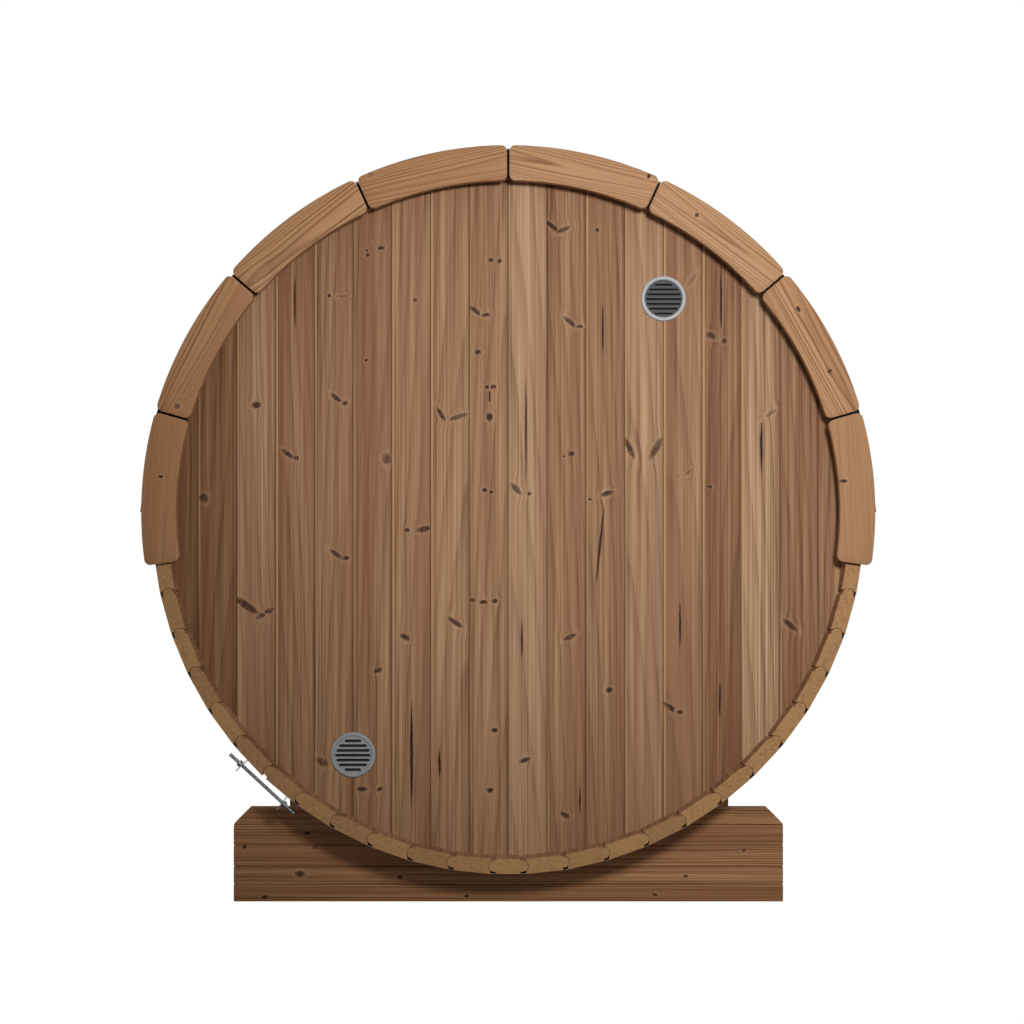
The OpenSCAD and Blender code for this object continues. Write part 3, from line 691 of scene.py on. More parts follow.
for side in ("right", "left"):
    for run, (first, last) in RUNS.items():
        pieces = []
        for k in range(first, last + (side == "right" or run != "highest")):
            degrees = math.degrees(starter_angle / 2 + (k - 0.5) * stave_angle)
            piece = copy_of(plain_stave, f"{side}_stave_{k}")
            pieces.append(set_stave(piece, side, degrees, f"{side}{k}", k in RED_STAVES[side]))
        name = f"{side}_staves_{run}"
        shown(joined(pieces, "dressed_" + name), stave_pine, "stave_wood", name)
discard(plain_stave)
top_degrees = 180 - math.degrees(stave_angle / 2)
for seed, angle, bead, side, degrees in (
    ("starter", starter_angle, True, "right", 0), ("closing", stave_angle, False, "left", top_degrees)
):
    piece = stave(f"dressed_{seed}_stave", angle, bead, bead)
    set_stave(piece, side, degrees, seed, False)
    shown(piece, stave_pine, "stave_wood", f"{seed}_stave")
print("barrel closed with", 2 * STAVES_PER_SIDE + 1, "staves")

# %% [markdown]
# ## End walls
# Every board has a wide bevel on its left edge, with a painted highlight on it in places, and painted
# shade along its right edge. It stands 1.6 mm off its neighbour, so each joint reads as a dark line with a
# light one beside it.
# One board is traced in plan, copied across, and trimmed to the round by an intersection with a disc.

# %% One board, and the wall of boards
BOARD_W, BEVEL_W, BEVEL_D, SLOT_HALF, SLOT_D = 0.110, 0.006, 0.003, 0.0008, 0.008
WALL_R, WALL_FACE, BOARDS = 0.9655, 0.933, 18
V_HALF, TONGUE, EASE = 0.004, 0.00015, 0.0008
BEVEL_NORMAL = Vector((-BEVEL_D, -BEVEL_W, 0)).normalized()


def board_plan(left, right, depth):
    """Plan of a board with its outer face at Y 0 and its thickness towards +Y."""
    return [
        (left + SLOT_HALF + BEVEL_W, 0), (left + SLOT_HALF, BEVEL_D), (left + SLOT_HALF, SLOT_D),
        (left + TONGUE, SLOT_D), (left + TONGUE, depth - V_HALF), (left + V_HALF, depth),
        (right - V_HALF, depth), (right - TONGUE, depth - V_HALF), (right - TONGUE, SLOT_D),
        (right - SLOT_HALF, SLOT_D), (right - SLOT_HALF, EASE), (right - SLOT_HALF - EASE, 0),
    ]


def wall_boards(name):
    """Boards across the back end, trimmed to the round."""
    plan = board_plan(-BOARD_W / 2, BOARD_W / 2, WALL_T)
    long_board = traced(name + "_board", plan, X, Y, -WALL_R, WALL_R)
    cut_lines(long_board, Z, [i * 0.03 for i in range(-32, 33)])
    cut_lines(long_board, X, [-0.025, 0, 0.025, SHADE_FROM])
    disc = rod_along(Y, WALL_R, 0.2, (0, -WALL_MID, AXIS_H), 240)
    boards = []
    for k in range(BOARDS):
        middle = (k - (BOARDS - 1) / 2) * BOARD_W
        piece = copy_of(long_board, f"{name}_{k}")
        placed(piece, Matrix.Translation((middle, -WALL_FACE, AXIS_H)))
        boards.append((carved(piece, disc, "INTERSECT", keep=True), middle))
    discard(long_board, disc)
    return boards


# Knots and cracks that show on the back wall, in mm: across, height, two radii, slant, depth of
# tone and 1 for a crack
WALL_KNOTS = [
    (-863, 1181, 11.3, 11.3, 0, 0.7, 0), (-741, 875, 36.9, 9.1, -35, 0.8, 0),
    (-715, 1445, 11.3, 8.5, 0, 0.9, 0), (-687, 855, 25.5, 7.4, 30, 0.75, 0),
    (-625, 1306, 19.8, 6.2, -35, 0.8, 0), (-605, 1737, 2.3, 79.4, 0, 0, 1), (-602, 1295, 8.5, 5.7, 0, 0.9, 0),
    (-528, 433, 17, 9.9, -35, 0.6, 0), (-488, 1022, 19.8, 6.2, -35, 0.8, 0),
    (-488, 1465, 17, 5.7, -40, 0.8, 0), (-508, 1755, 5, 4.5, 0, 0.95, 0), (-470, 1753, 17, 3.5, 4, 0.4, 0),
    (-463, 1450, 8.5, 5.7, 15, 0.8, 0), (-460, 1011, 8.5, 5.7, 0, 0.9, 0), (-415, 356, 14.2, 6.2, 0, 0.8, 0),
    (-403, 1572, 4.5, 4.5, 0, 0.9, 0), (-386, 1897, 4.5, 6, 0, 0.95, 0), (-401, 1883, 4, 4, 0, 0.9, 0),
    (-391, 1887, 3, 3, 0, 0.9, 0), (-382, 356, 4.3, 4.3, 0, 0.9, 0), (-378, 1883, 4, 5, 0, 0.9, 0),
    (-398, 1870, 5, 5, 0, 0.95, 0), (-360, 1890, 9, 5, 10, 0.9, 0), (-369, 693, 11.3, 6.2, 20, 0.85, 0),
    (-364, 356, 8.5, 5.7, 20, 0.85, 0), (-344, 1292, 11.3, 14.2, 0, 0.6, 0),
    (-293, 787, 14.2, 6.8, -30, 0.8, 0), (-287, 1090, 7.4, 5.7, 0, 0.85, 0), (-274, 452, 3.6, 158.8, 0, 0, 1),
    (-269, 1090, 5.7, 5.7, 0, 0.85, 0), (-264, 1743, 5.1, 5.1, 0, 0.9, 0),
    (-239, 1093, 19.8, 7.4, 12, 0.8, 0), (-195, 427, 2.8, 39.7, 0, 0, 1),
    (-191, 1419, 19.8, 5.1, -60, 0.9, 0), (-151, 829, 22.7, 6.2, -35, 0.8, 0),
    (-143, 1411, 28.4, 6.2, 18, 0.6, 0), (-100, 892, 7.1, 5.7, 0, 0.7, 0),
    (-91, 1711, 19.8, 5.7, -35, 0.8, 0), (-86, 1595, 8.5, 5.7, 0, 0.9, 0), (-72, 886, 11.3, 5.1, 0, 0.9, 0),
    (-67, 1204, 6.8, 5.1, 0, 0.95, 0), (-63, 1700, 11.3, 5.1, 10, 0.8, 0), (-60, 1496, 6.2, 5.1, 0, 1, 0),
    (-53, 1411, 7.4, 11.3, 0, 1, 0), (-53, 1448, 2.3, 56.7, 0, 0, 1), (-52, 353, 8.5, 6.2, 0, 0.9, 0),
    (-49, 1856, 7.1, 5.7, 0, 0.9, 0), (-48, 1198, 5.7, 4.3, 0, 0.95, 0), (-43, 1496, 7.1, 5.1, 20, 1, 0),
    (-38, 523, 8.5, 5.7, 0, 0.9, 0), (-38, 889, 8.5, 5.7, 10, 0.9, 0), (-26, 1853, 7.1, 5.7, 0, 0.9, 0),
    (22, 1207, 18.4, 6.8, -50, 0.65, 0), (33, 1714, 2, 56.7, 0, 0, 1), (39, 778, 2, 56.7, 0, 0, 1),
    (47, 438, 14.2, 6.2, 20, 0.8, 0), (50, 1374, 2, 147.5, 0, 0, 1), (56, 1192, 8.5, 4.5, 15, 0.85, 0),
    (124, 1952, 22.7, 6.2, -40, 0.85, 0), (155, 1941, 19.8, 5.7, 25, 0.8, 0),
    (157, 1299, 2.8, 2.8, 0, 0.9, 0), (161, 282, 14.2, 6.2, -30, 0.8, 0), (175, 787, 17, 6.2, 25, 0.8, 0),
    (175, 1680, 19.8, 6.2, -40, 0.8, 0), (179, 1307, 7.9, 6.2, 20, 0.9, 0), (203, 325, 2, 42.5, 0, 0, 1),
    (203, 1666, 8.5, 5.7, 0, 0.9, 0), (232, 1178, 4.3, 4.3, 0, 0.8, 0), (252, 1941, 5.1, 5.1, 0, 0.9, 0),
    (260, 1048, 2.6, 119.1, -6, 0, 1), (268, 1661, 2.2, 80, 0, 0, 1), (280, 1194, 17, 6.2, 15, 0.85, 0),
    (286, 637, 8.5, 6.8, 0, 0.9, 0), (344, 1322, 27, 7, -66, 0.75, 0), (419, 1322, 31, 8.5, 60, 0.65, 0),
    (461, 586, 22.7, 6.8, -35, 0.8, 0), (487, 574, 8.5, 5.7, 0, 0.9, 0), (487, 821, 2.3, 70.9, 0, 0, 1),
    (480, 1241, 4.5, 4.5, 0, 0.95, 0), (511, 1254, 14, 4.5, 42, 0.35, 0), (503, 1778, 4, 5, 0, 0.85, 0),
    (520, 1800, 22, 6, 55, 0.25, 0), (575, 1642, 15, 8, -25, 0.75, 0), (571, 1213, 7, 4, -10, 0.9, 0),
    (600, 608, 2.3, 56.7, 0, 0, 1), (603, 1743, 2.3, 107.8, 0, 0, 1), (612, 1626, 7.1, 7.1, 0, 0.8, 0),
    (718, 1330, 3, 80, 0, 0, 1), (718, 1412, 5, 6, 0, 0.75, 0), (745, 1422, 18, 5, 35, 0.35, 0),
    (799, 821, 22.7, 7.4, -40, 0.8, 0),
]
# How pale each board of the back wall is, from the left
BOARD_TONES = [
    -0.15, -0.1, 0.7, 0.36, 0.44, 0.42, 0.61, 0.62, 0.51, 0.98, 0.38, 0.42, 0.83, 0.56, 0.13, 0.99, 0.23, 0.3
]
VENTS = {"upper": (0.440, 1.746), "lower": (-0.440, 0.454)}
PIPE_R = 0.050

back_boards = []
for (board, middle), tone in zip(wall_boards("back_board"), BOARD_TONES):
    for x, z in VENTS.values():
        if abs(abs(x - middle) - BOARD_W / 2) < 0.001:
            carved(board, rod_along(Y, PIPE_R + 0.0005, 0.2, (x, -WALL_MID, z), 48))
    near = [k for k in WALL_KNOTS if abs(k[0] / 1000 - middle) < BOARD_W / 2]
    knots = in_metres(near, middle)
    dressed(board, X, Z, f"back{middle:.2f}", (middle, 0, 0), knots, tone, BEVEL_NORMAL)
    back_boards.append(board)
shown(joined(back_boards, "dressed_back_wall"), wall_pine, "wall_wood", "back_wall")
print("back wall:", len(back_boards), "boards,", len(WALL_KNOTS), "knots and cracks")

# %% [markdown]
# The front wall has the same boards, turned round and cut away for the door frame. Nobody sees it in
# the photograph, so its knots are drawn by a seeded dice.

# %% Front wall
OPENING_HALF, OPENING_FOOT, OPENING_TOP = 0.349, 0.295, 1.993
TURNED = Matrix.Rotation(math.pi, 4, "Z")


front_boards = []
for board, middle in wall_boards("front_board"):
    draw = random.Random(f"front{middle:.2f}")
    knots = random_knots(draw, 0.05, 0.2, 2.1, 0.3, 0.008)
    if abs(middle) < OPENING_HALF + BOARD_W / 2:
        door_size = (2 * OPENING_HALF, 0.2, OPENING_TOP - OPENING_FOOT)
        carved(board, block(door_size, (0, -WALL_MID, (OPENING_TOP + OPENING_FOOT) / 2)))
    dressed(board, X, Z, f"front{middle:.2f}", (middle, 0, 0), knots, draw.uniform(0.3, 0.75), BEVEL_NORMAL)
    front_boards.append(placed(board, TURNED))
shown(
    joined(front_boards, "dressed_front_wall"), wall_pine, "wall_wood",
    "front_wall_left", "front_wall_right", "front_wall_over_door", "front_wall_under_door",
)
print("front wall:", len(front_boards), "boards")

# %% [markdown]
# ## Door
# On the front end a ledged leaf of the same boards hangs in a frame of planed posts. Two surface
# hinges carry it, and a turned wooden bar serves as the pull. Each post is a traced section with
# eased corners, because a sharp box never leaves a planer.

# %% Frame and leaf
FRAME_W, FRAME_T, DOOR_GAP = 0.045, 0.062, 0.004
LEAF_HALF, LEAF_FOOT, LEAF_TOP, LEAF_T = 0.300, 0.344, 1.944, 0.040
LEAF_FACE = WALL_MID + FRAME_T / 2


def post(name, low, high, along):
    """A planed post between two corners, with eased edges, dressed along one direction."""
    (x0, z0), (x1, z1) = low, high
    piece = traced(name, oblong(*low, *high), X, Z, -WALL_MID - FRAME_T / 2, -WALL_MID + FRAME_T / 2)
    softened(piece, 0.003, 2, lambda e: True)
    middle = ((x0 + x1) / 2, WALL_MID, (z0 + z1) / 2)
    start, length = low[along == Z], high[along == Z] - low[along == Z]
    cut_lines(piece, along, [start + i * 0.06 for i in range(1, int(length / 0.06) + 1)])
    across, span = Z if along == X else X, length / 2
    knots = random_knots(random.Random(name), 0.02, -span, span, 0.4, 0.006)
    return dressed(piece, across, along, name, middle, knots)


frame_low, frame_high = OPENING_FOOT + FRAME_W, OPENING_TOP - FRAME_W
inner = OPENING_HALF - FRAME_W
jambs = [
    post("jamb_left", (-OPENING_HALF, frame_low), (-inner, frame_high), Z),
    post("jamb_right", (inner, frame_low), (OPENING_HALF, frame_high), Z),
]
shown(joined(jambs, "dressed_door_jambs"), fascia_pine, "fascia_wood", "door_jambs")
for name, low, high in (("door_head", frame_high, OPENING_TOP), ("door_sill", OPENING_FOOT, frame_low)):
    piece = post("dressed_" + name, (-OPENING_HALF, low), (OPENING_HALF, high), X)
    shown(piece, fascia_pine, "fascia_wood", name)

leaf_joints = [-LEAF_HALF - SLOT_HALF, -0.22, -0.11, 0, 0.11, 0.22, LEAF_HALF + SLOT_HALF]
leaf = []
for left, right in zip(leaf_joints, leaf_joints[1:]):
    piece = traced(f"leaf_{left:.2f}", board_plan(left, right, LEAF_T), X, Y, LEAF_FOOT, LEAF_TOP)
    placed(piece, Matrix.Translation((0, -LEAF_FACE, 0)))
    cut_lines(piece, Z, [LEAF_FOOT + i * 0.04 for i in range(1, 40)])
    middle = (left + right) / 2
    draw = random.Random(f"leaf{left:.2f}")
    knots = random_knots(draw, 0.05, LEAF_FOOT, LEAF_TOP, 0.3, 0.008)
    dressed(piece, X, Z, f"leaf{left:.2f}", (middle, 0, 0), knots, draw.uniform(0.45, 0.85), BEVEL_NORMAL)
    leaf.append(placed(piece, TURNED))
shown(joined(leaf, "dressed_door_leaf"), wall_pine, "wall_wood", "door_leaf")
print("door leaf of", len(leaf), "boards")

# %% Hinges and pull
HINGE_X, HINGE_LEVELS = LEAF_HALF + DOOR_GAP / 2, (0.6107, 1.6773)
KNUCKLE_R, KNUCKLE_TURNS, HINGE_H, HINGE_HALF = 0.007, 5, 0.090, 0.035
PLATE_T, PLATE_IN, PLATE_CORNER, SCREW_X, SCREW_LEVELS = 0.003, 0.002, 0.010, 0.021, (-0.030, 0, 0.030)
SCREW_HEAD = [(0, 0), (0.0045, 0), (0.0040, 0.0009), (0.0022, 0.0015), (0.0018, 0.0010), (0, 0.0010)]


def spun(name, profile, axis, steps):
    """Turns a profile of (radius, height) pairs about an axis, as on a lathe."""
    side = X if axis != X else Z
    piece = drawn(name, [r * side + h * axis for r, h in profile])
    bpy.ops.mesh.select_all(action="SELECT")
    bpy.ops.mesh.spin(steps=steps, angle=2 * math.pi, center=(0, 0, 0), axis=axis)
    bpy.ops.mesh.select_all(action="SELECT")
    bpy.ops.mesh.remove_doubles(threshold=1e-6)
    return finished(piece)


def hinge(name):
    """A knuckle in five turns over two plates with round corners and three screws each."""
    step, parts = HINGE_H / KNUCKLE_TURNS, []
    profile = [(0, -HINGE_H / 2)]
    for i in range(KNUCKLE_TURNS):
        low = -HINGE_H / 2 + i * step
        profile += [(KNUCKLE_R - EASE, low), (KNUCKLE_R, low + EASE)]
        profile += [(KNUCKLE_R, low + step - EASE), (KNUCKLE_R - EASE, low + step)]
    knuckle = spun(name, profile + [(0, HINGE_H / 2)], Z, 32)
    parts.append(placed(knuckle, Matrix.Translation((0, KNUCKLE_R, 0))))
    for side in (-1, 1):
        outline = oblong(side * PLATE_IN, -HINGE_H / 2, side * HINGE_HALF, HINGE_H / 2)
        plate = traced(f"{name}_plate{side}", outline, X, Z, -PLATE_T, 0)
        far = lambda v: abs(v.co.x) > HINGE_HALF - 1e-5
        level = lambda e: abs(e.verts[0].co.z - e.verts[1].co.z) < 1e-6
        softened(plate, PLATE_CORNER, 4, lambda e: level(e) and far(e.verts[0]) and far(e.verts[1]))
        parts.append(plate)
        for level in SCREW_LEVELS:
            screw = spun(f"{name}_screw", SCREW_HEAD, Y, 20)
            parts.append(placed(screw, Matrix.Translation((side * SCREW_X, PLATE_T, level))))
    return joined(parts, name)


one_hinge = hinge("hinge")
hinges = [
    placed(copy_of(one_hinge, f"hinge_{z}"), Matrix.Translation((HINGE_X, LEAF_FACE, z))) for z in HINGE_LEVELS
]
discard(one_hinge)
shown(joined(hinges, "dressed_door_hinges"), band_zinc, "galvanised_steel", "door_hinges")

PULL_R, PULL_HALF, PULL_OFF, POST_R = 0.015, 0.160, 0.034, 0.011
ends = [(0, -PULL_HALF), (0.010, -PULL_HALF), (0.0135, -PULL_HALF + 0.0015), (PULL_R, -PULL_HALF + 0.005)]
grip = [(PULL_R, -PULL_HALF + i * 0.02) for i in range(1, 16)]
bar = spun("bar", ends + grip + [(r, -h) for r, h in reversed(ends)], Z, 40)
posts = []
for level in (-1, 1):
    foot = [(0, -PULL_OFF), (POST_R, -PULL_OFF), (POST_R, -0.006), (0, -0.006)]
    stub = spun(f"pull_post{level}", foot, Y, 32)
    placed(stub, Matrix.Translation((0, 0, level * 2 * PULL_HALF / 3)))
    posts.append(dressed(stub, X, Y, f"stub{level}"))
pull = joined([dressed(bar, X, Z, "pull"), *posts], "dressed_door_pull")
placed(pull, Matrix.Translation((-LEAF_HALF + 0.070, LEAF_FACE + PULL_OFF, (LEAF_FOOT + LEAF_TOP) / 2)))
shown(pull, fascia_pine, "fascia_wood", "door_pull")
print("door hung on", len(HINGE_LEVELS), "hinges")

# %% [markdown]
# ## Arched fascia
# Boards sawn to a curve cover each end of the roof, four on a side, with rounded corners and a small
# gap between them. One board is traced, its front edge is rounded over with a bevel as a router does,
# and the copies are turned about a centre that lies 17 mm above the barrel's axis. The grain runs
# straight through the board, so it meets the curve at a slant.

# %% Fascia boards
FASCIA_OUT, FASCIA_W, FASCIA_T, FASCIA_H, CORNER = 1.023, 0.098, 0.028, 1.141, 0.017
FASCIA_BOARDS, FASCIA_GAP, FASCIA_DROP = 4, 0.006, 8.6
fascia_step = (90 + FASCIA_DROP) / FASCIA_BOARDS


def arc(radius, start, end, steps, middle=(0, 0)):
    """Points along an arc, with angles in radians."""
    turns = [start + (end - start) * i / steps for i in range(steps + 1)]
    return [(middle[0] + radius * math.cos(a), middle[1] + radius * math.sin(a)) for a in turns]


def curved_board(r_in, r_out, low, high, corner):
    """Outline of a curved board between two angles, with round corners."""
    far, near = r_out - corner, r_in + corner
    far_turn, near_turn = math.asin(corner / far), math.asin(corner / near)
    spot = lambda r, a: (r * math.cos(a), r * math.sin(a))
    quarter = math.pi / 2
    points = arc(r_out, low + far_turn, high - far_turn, 16)
    points += arc(corner, high - far_turn, high + quarter, 5, spot(far, high - far_turn))[1:]
    points += arc(corner, high + quarter, high - near_turn + 2 * quarter, 5, spot(near, high - near_turn))
    points += arc(r_in, high - near_turn, low + near_turn, 16)[1:]
    points += arc(corner, low + near_turn + 2 * quarter, low + 3 * quarter, 5, spot(near, low + near_turn))[1:]
    points += arc(corner, low + 3 * quarter, low + far_turn + 4 * quarter, 5, spot(far, low + far_turn))[:-1]
    return points


half_turn = math.radians(fascia_step / 2) - math.asin(FASCIA_GAP / 2 / (FASCIA_OUT - FASCIA_W / 2))
fascia_in, top = FASCIA_OUT - FASCIA_W, math.pi / 2
outline = curved_board(fascia_in, FASCIA_OUT, top - half_turn, top + half_turn, CORNER)
fascia_board = traced("fascia_board", outline, X, Z, BARREL_HALF, BARREL_HALF + FASCIA_T)
fascia_front = -BARREL_HALF - FASCIA_T
softened(fascia_board, 0.0018, 2, lambda e: all(v.co.y < fascia_front + 1e-5 for v in e.verts))
cut_lines(fascia_board, X, [i * 0.03 for i in range(-7, 8)])
fascia_middle = (0, fascia_front, FASCIA_OUT - FASCIA_W / 2)
# Knots on the back fascia, in mm along and across each board from its middle, by side and number
FASCIA_KNOTS = {
    ("right", 0): [(-26, -37, 10, 4, 0, 1, 0), (-13, 37, 6, 5, 0, 1, 0)],
    ("right", 1): [
        (-114, 6, 5, 8, 0, 1, 0), (80, 1, 6, 4, 0, 1, 0), (82, 23, 3, 3, 0, 0.8, 0), (77, 40, 4, 2, 0, 0.8, 0)
    ],
    ("right", 2): [(-78, 3, 5, 5, 0, 1, 0)],
    ("right", 3): [(183, 24, 6, 4, 0, 1, 0)],
    ("left", 0): [(-36, -1, 6, 4, 0, 0.9, 0)],
    ("left", 1): [(156, -30, 11, 6, 20, 0.6, 0), (178, -22, 8, 7, 0, 0.6, 0)],
    ("left", 2): [(159, -22, 16, 16, 0, 0, 0)],
    ("left", 3): [(173, 34, 12, 9, 0, 0.35, 0)],
}
FASCIA_TONES = {"left": (0.30, 0.40, 0.42, 0.36), "right": (0.55, 0.55, 0.7, 0.72)}
FLIP_Y = Matrix.Scale(-1, 4, Y)
# A strip with the black coat of the roof's edge lies deep in each joint
STRIP_T, STRIP_IN, STRIP_CLEAR = 0.006, 0.006, 0.0002
strip_half = FASCIA_GAP / 2 - STRIP_CLEAR
outline = oblong(-strip_half, fascia_in + STRIP_IN, strip_half, FASCIA_OUT - STRIP_IN)
joint_strip = traced("joint_strip", outline, X, Z, BARREL_HALF + STRIP_CLEAR, BARREL_HALF + STRIP_T)
joint_strip.data.materials.append(edge_black)


def on_arch(number, side, end):
    """A place on the arch, counted in boards from its foot."""
    degrees = 90 + FASCIA_DROP - number * fascia_step
    turn = Matrix.Translation((0, 0, FASCIA_H)) @ Matrix.Rotation(math.radians(degrees), 4, "Y")
    return FLIP_Y @ sided(turn, side) if end == "front" else sided(turn, side)


for end in ("back", "front"):
    for side in ("left", "right"):
        boards = []
        for k in range(FASCIA_BOARDS):
            seed = f"{end}{side}{k}"
            piece = copy_of(fascia_board, seed)
            draw = random.Random(seed)
            knots = random_knots(draw, 0.04, -0.2, 0.2, 0.35, 0.006)
            if end == "back":
                knots = in_metres(FASCIA_KNOTS[side, k], lengthwise=True)
            tone = FASCIA_TONES[side][k] if end == "back" else draw.uniform(0.4, 0.7)
            dressed(piece, Z, X, seed, fascia_middle, knots, tone, flat=k != 0)
            piece.data.materials.append(fascia_pine)
            boards.append(placed(piece, on_arch(k + 0.5, side, end)))
        for k in range(FASCIA_BOARDS - (side == "left")):
            boards.append(placed(copy_of(joint_strip, f"strip_{k}"), on_arch(k + 1, side, end)))
        name = f"{end}_fascia_{side}"
        shown(joined(boards, "dressed_" + name), None, "fascia_wood", name)
discard(joint_strip, fascia_board)
print("fascia:", 4 * FASCIA_BOARDS, "boards of", round(fascia_step, 2), "degrees")

# %% [markdown]
# ## Cradles
# Each cradle is a stack of five boards on edge, hollowed to the barrel. The top board's ends are cut
# at 45 degrees. Long edges are eased so that the joints between boards catch a line of shadow.

# %% Stack and hollow the boards
CRADLE_HALF, CRADLE_NEAR, CRADLE_FAR = 0.805, 0.750, 0.680
CRADLE_HEIGHTS, CRADLE_GAP, HOOP_R = (0.052, 0.052, 0.062, 0.061, 0.043), 0.0015, 0.99772
# Knots on the back cradle, in mm: along, height, two radii, slant, depth of tone and crack
CRADLE_KNOTS = [
    (-590, 201, 5, 9, 0, 0.9, 0), (-772, 160, 5, 6, 0, 0.9, 0), (-567, 160, 6, 8, 0, 0.5, 0),
    (-611, 81, 8, 13, 0, 0.75, 0), (-318, 72, 5, 7, 0, 0.8, 0), (-713, 13, 5, 9, 0, 0.9, 0),
    (-122, 16, 4, 7, 0, 0.9, 0), (260, 130, 5, 8, 0, 0.6, 0), (520, 75, 4, 6, 0, 0.7, 0),
    (690, 150, 4, 6, 0, 0.6, 0), (430, 20, 4, 7, 0, 0.7, 0),
]
hollow = rod_along(Y, HOOP_R, 0.4, (0, -CRADLE_NEAR, AXIS_H), 240)
stack, low = [], 0
for i, height in enumerate(CRADLE_HEIGHTS):
    last = i == len(CRADLE_HEIGHTS) - 1
    high = low + height - (0 if last else CRADLE_GAP)
    cut = high - low if last else 0
    outline = [(-CRADLE_HALF, low), (CRADLE_HALF, low), (CRADLE_HALF - cut, high), (cut - CRADLE_HALF, high)]
    piece = traced(f"cradle_board_{i}", outline, X, Z, CRADLE_FAR, CRADLE_NEAR)
    softened(piece, 0.002, 2, lambda e: True)
    cut_lines(piece, X, [j * 0.035 for j in range(-22, 23)])
    if high > AXIS_H - HOOP_R:
        carved(piece, hollow, keep=True)
    middle = (0, -CRADLE_NEAR, (low + high) / 2)
    near = [k for k in CRADLE_KNOTS if low < k[1] / 1000 < high]
    stack.append((piece, middle, in_metres(near, middle[2], lengthwise=True)))
    low += height
discard(hollow)
for end in ("back", "front"):
    boards = []
    for i, (piece, middle, knots) in enumerate(stack):
        twin = copy_of(piece, f"{end}_cradle_{i}")
        draw = random.Random(f"{end}cradle{i}")
        if end == "front":
            knots = random_knots(draw, 0.02, -0.78, 0.78, 0.4, 0.006)
        # Faces that look up take the painted highlight of cradle_pine, as if lit from above
        dressed(twin, Z, X, f"{end}cradle{i}", middle, knots, draw.uniform(0.4, 0.65), Z)
        boards.append(placed(twin, FLIP_Y) if end == "front" else twin)
    shown(joined(boards, f"dressed_{end}_cradle"), cradle_pine, "cradle_wood", f"{end}_cradle")
discard(*[piece for piece, _, _ in stack])
print("cradles: two stacks of", len(stack), "boards")

# %% [markdown]
# ## Vents
# A round plastic vent covers each pipe through the back wall. The rim is turned from a profile, as
# its mould was. The slots between the louvres rise into the pipe, so that rain runs off and nobody
# looks straight through: from the side they read as dark lines.

# %% Rim, louvres and pipe
VENT_R, RIM_R, VENT_OUT, BORE_R = 0.0635, 0.0540, 0.008, 0.048
GRILLE_R, GRILLE_T, GRILLE_Y, SLOT_ROUND = RIM_R - 0.0014, 0.012, 0.002, RIM_R - 0.0035
SLOTS, SLOT_PITCH, SLOT_RISE, CUT_HALF = 7, 0.0136, 0.0108, 0.012
SLOT_HEIGHTS = {"upper": 0.0058, "lower": 0.0078}


def stadium(half_length, half_height, steps=6):
    """Outline of a slot with round ends."""
    right = arc(half_height, -math.pi / 2, math.pi / 2, steps, (half_length - half_height, 0))
    return right + [(-x, -z) for x, z in right]


rim_profile = [
    (RIM_R - 0.0015, -0.0035), (RIM_R - 0.0005, -0.0066), (RIM_R + 0.0010, -0.0077),
    (RIM_R + 0.0030, -VENT_OUT), (VENT_R - 0.0028, -VENT_OUT), (VENT_R - 0.0010, -0.0073),
    (VENT_R - 0.0002, -0.0058), (VENT_R, -0.0040), (VENT_R, 0), (RIM_R - 0.0015, 0),
    (RIM_R - 0.0015, -0.0035),
]
pipe_profile = [(BORE_R, 0), (PIPE_R, 0), (PIPE_R, WALL_T), (BORE_R, WALL_T), (BORE_R, 0)]
rim = spun("vent_rim", rim_profile, Y, 96)
pipe = spun("vent_pipe", pipe_profile, Y, 64)


def louvred(slot_h):
    """A grille plate whose slots rise into the pipe."""
    plate = rod_along(Y, GRILLE_R, GRILLE_T, (0, GRILLE_Y, 0), 96)
    for i in range(SLOTS):
        middle = (i - (SLOTS - 1) / 2) * SLOT_PITCH
        reach = abs(middle) + slot_h / 2 * (middle != 0)
        half = math.sqrt(SLOT_ROUND**2 - reach**2)
        outline = [(x, z + middle) for x, z in stadium(half, slot_h / 2)]
        slot = traced(f"slot_{i}", outline, X, Z, -CUT_HALF, CUT_HALF)
        # The cutter's near end is lowered and its far end lifted
        only(slot)
        bpy.ops.object.mode_set(mode="EDIT")
        for side in (-1, 1):
            pick(slot, "verts", lambda v: v.co.y * side > 0)
            bpy.ops.transform.translate(value=(0, 0, side * SLOT_RISE / 2))
        finished(slot)
        carved(plate, slot)
    return plate


for name, (x, z), rim_finish, slat_finish, slot_name in (
    ("upper", VENTS["upper"], vent_light, slats_and_slot_shade, "light_grey_plastic"),
    ("lower", VENTS["lower"], vent_grey, vent_grey, "mid_grey_plastic"),
):
    parts, plate = [], louvred(SLOT_HEIGHTS[name])
    for piece, finish in ((rim, rim_finish), (plate, slat_finish), (pipe, vent_shade)):
        twin = copy_of(piece, f"{name}_{piece.name}")
        twin.data.materials.clear()
        twin.data.materials.append(finish)
        # The walls of the lower slots take the darker slate grey as painted shade, since little light reaches
        # them
        if piece is plate and name == "lower":
            twin.data.materials.append(slats_and_slot_shade)
            for face in twin.data.polygons:
                face.material_index = int(abs(face.normal.y) < 0.9)
        parts.append(placed(twin, Matrix.Translation((x, -WALL_FACE, z))))
    discard(plate)
    shown(joined(parts, f"dressed_{name}_vent"), None, slot_name, f"{name}_vent")
discard(rim, pipe)
print("vents at", VENTS)

# %% [markdown]
# ## Roof
# Strips of shingle run along the barrel, each lapped by the next, with tabs 333 mm wide whose joints
# are staggered. One tab is traced from its end: thick at its lower edge, where two layers lie under
# it, thin at the top. The ridge is capped with short pieces, each over the next. Deck, edge plates
# and bands keep the frame's own meshes and take a finish.

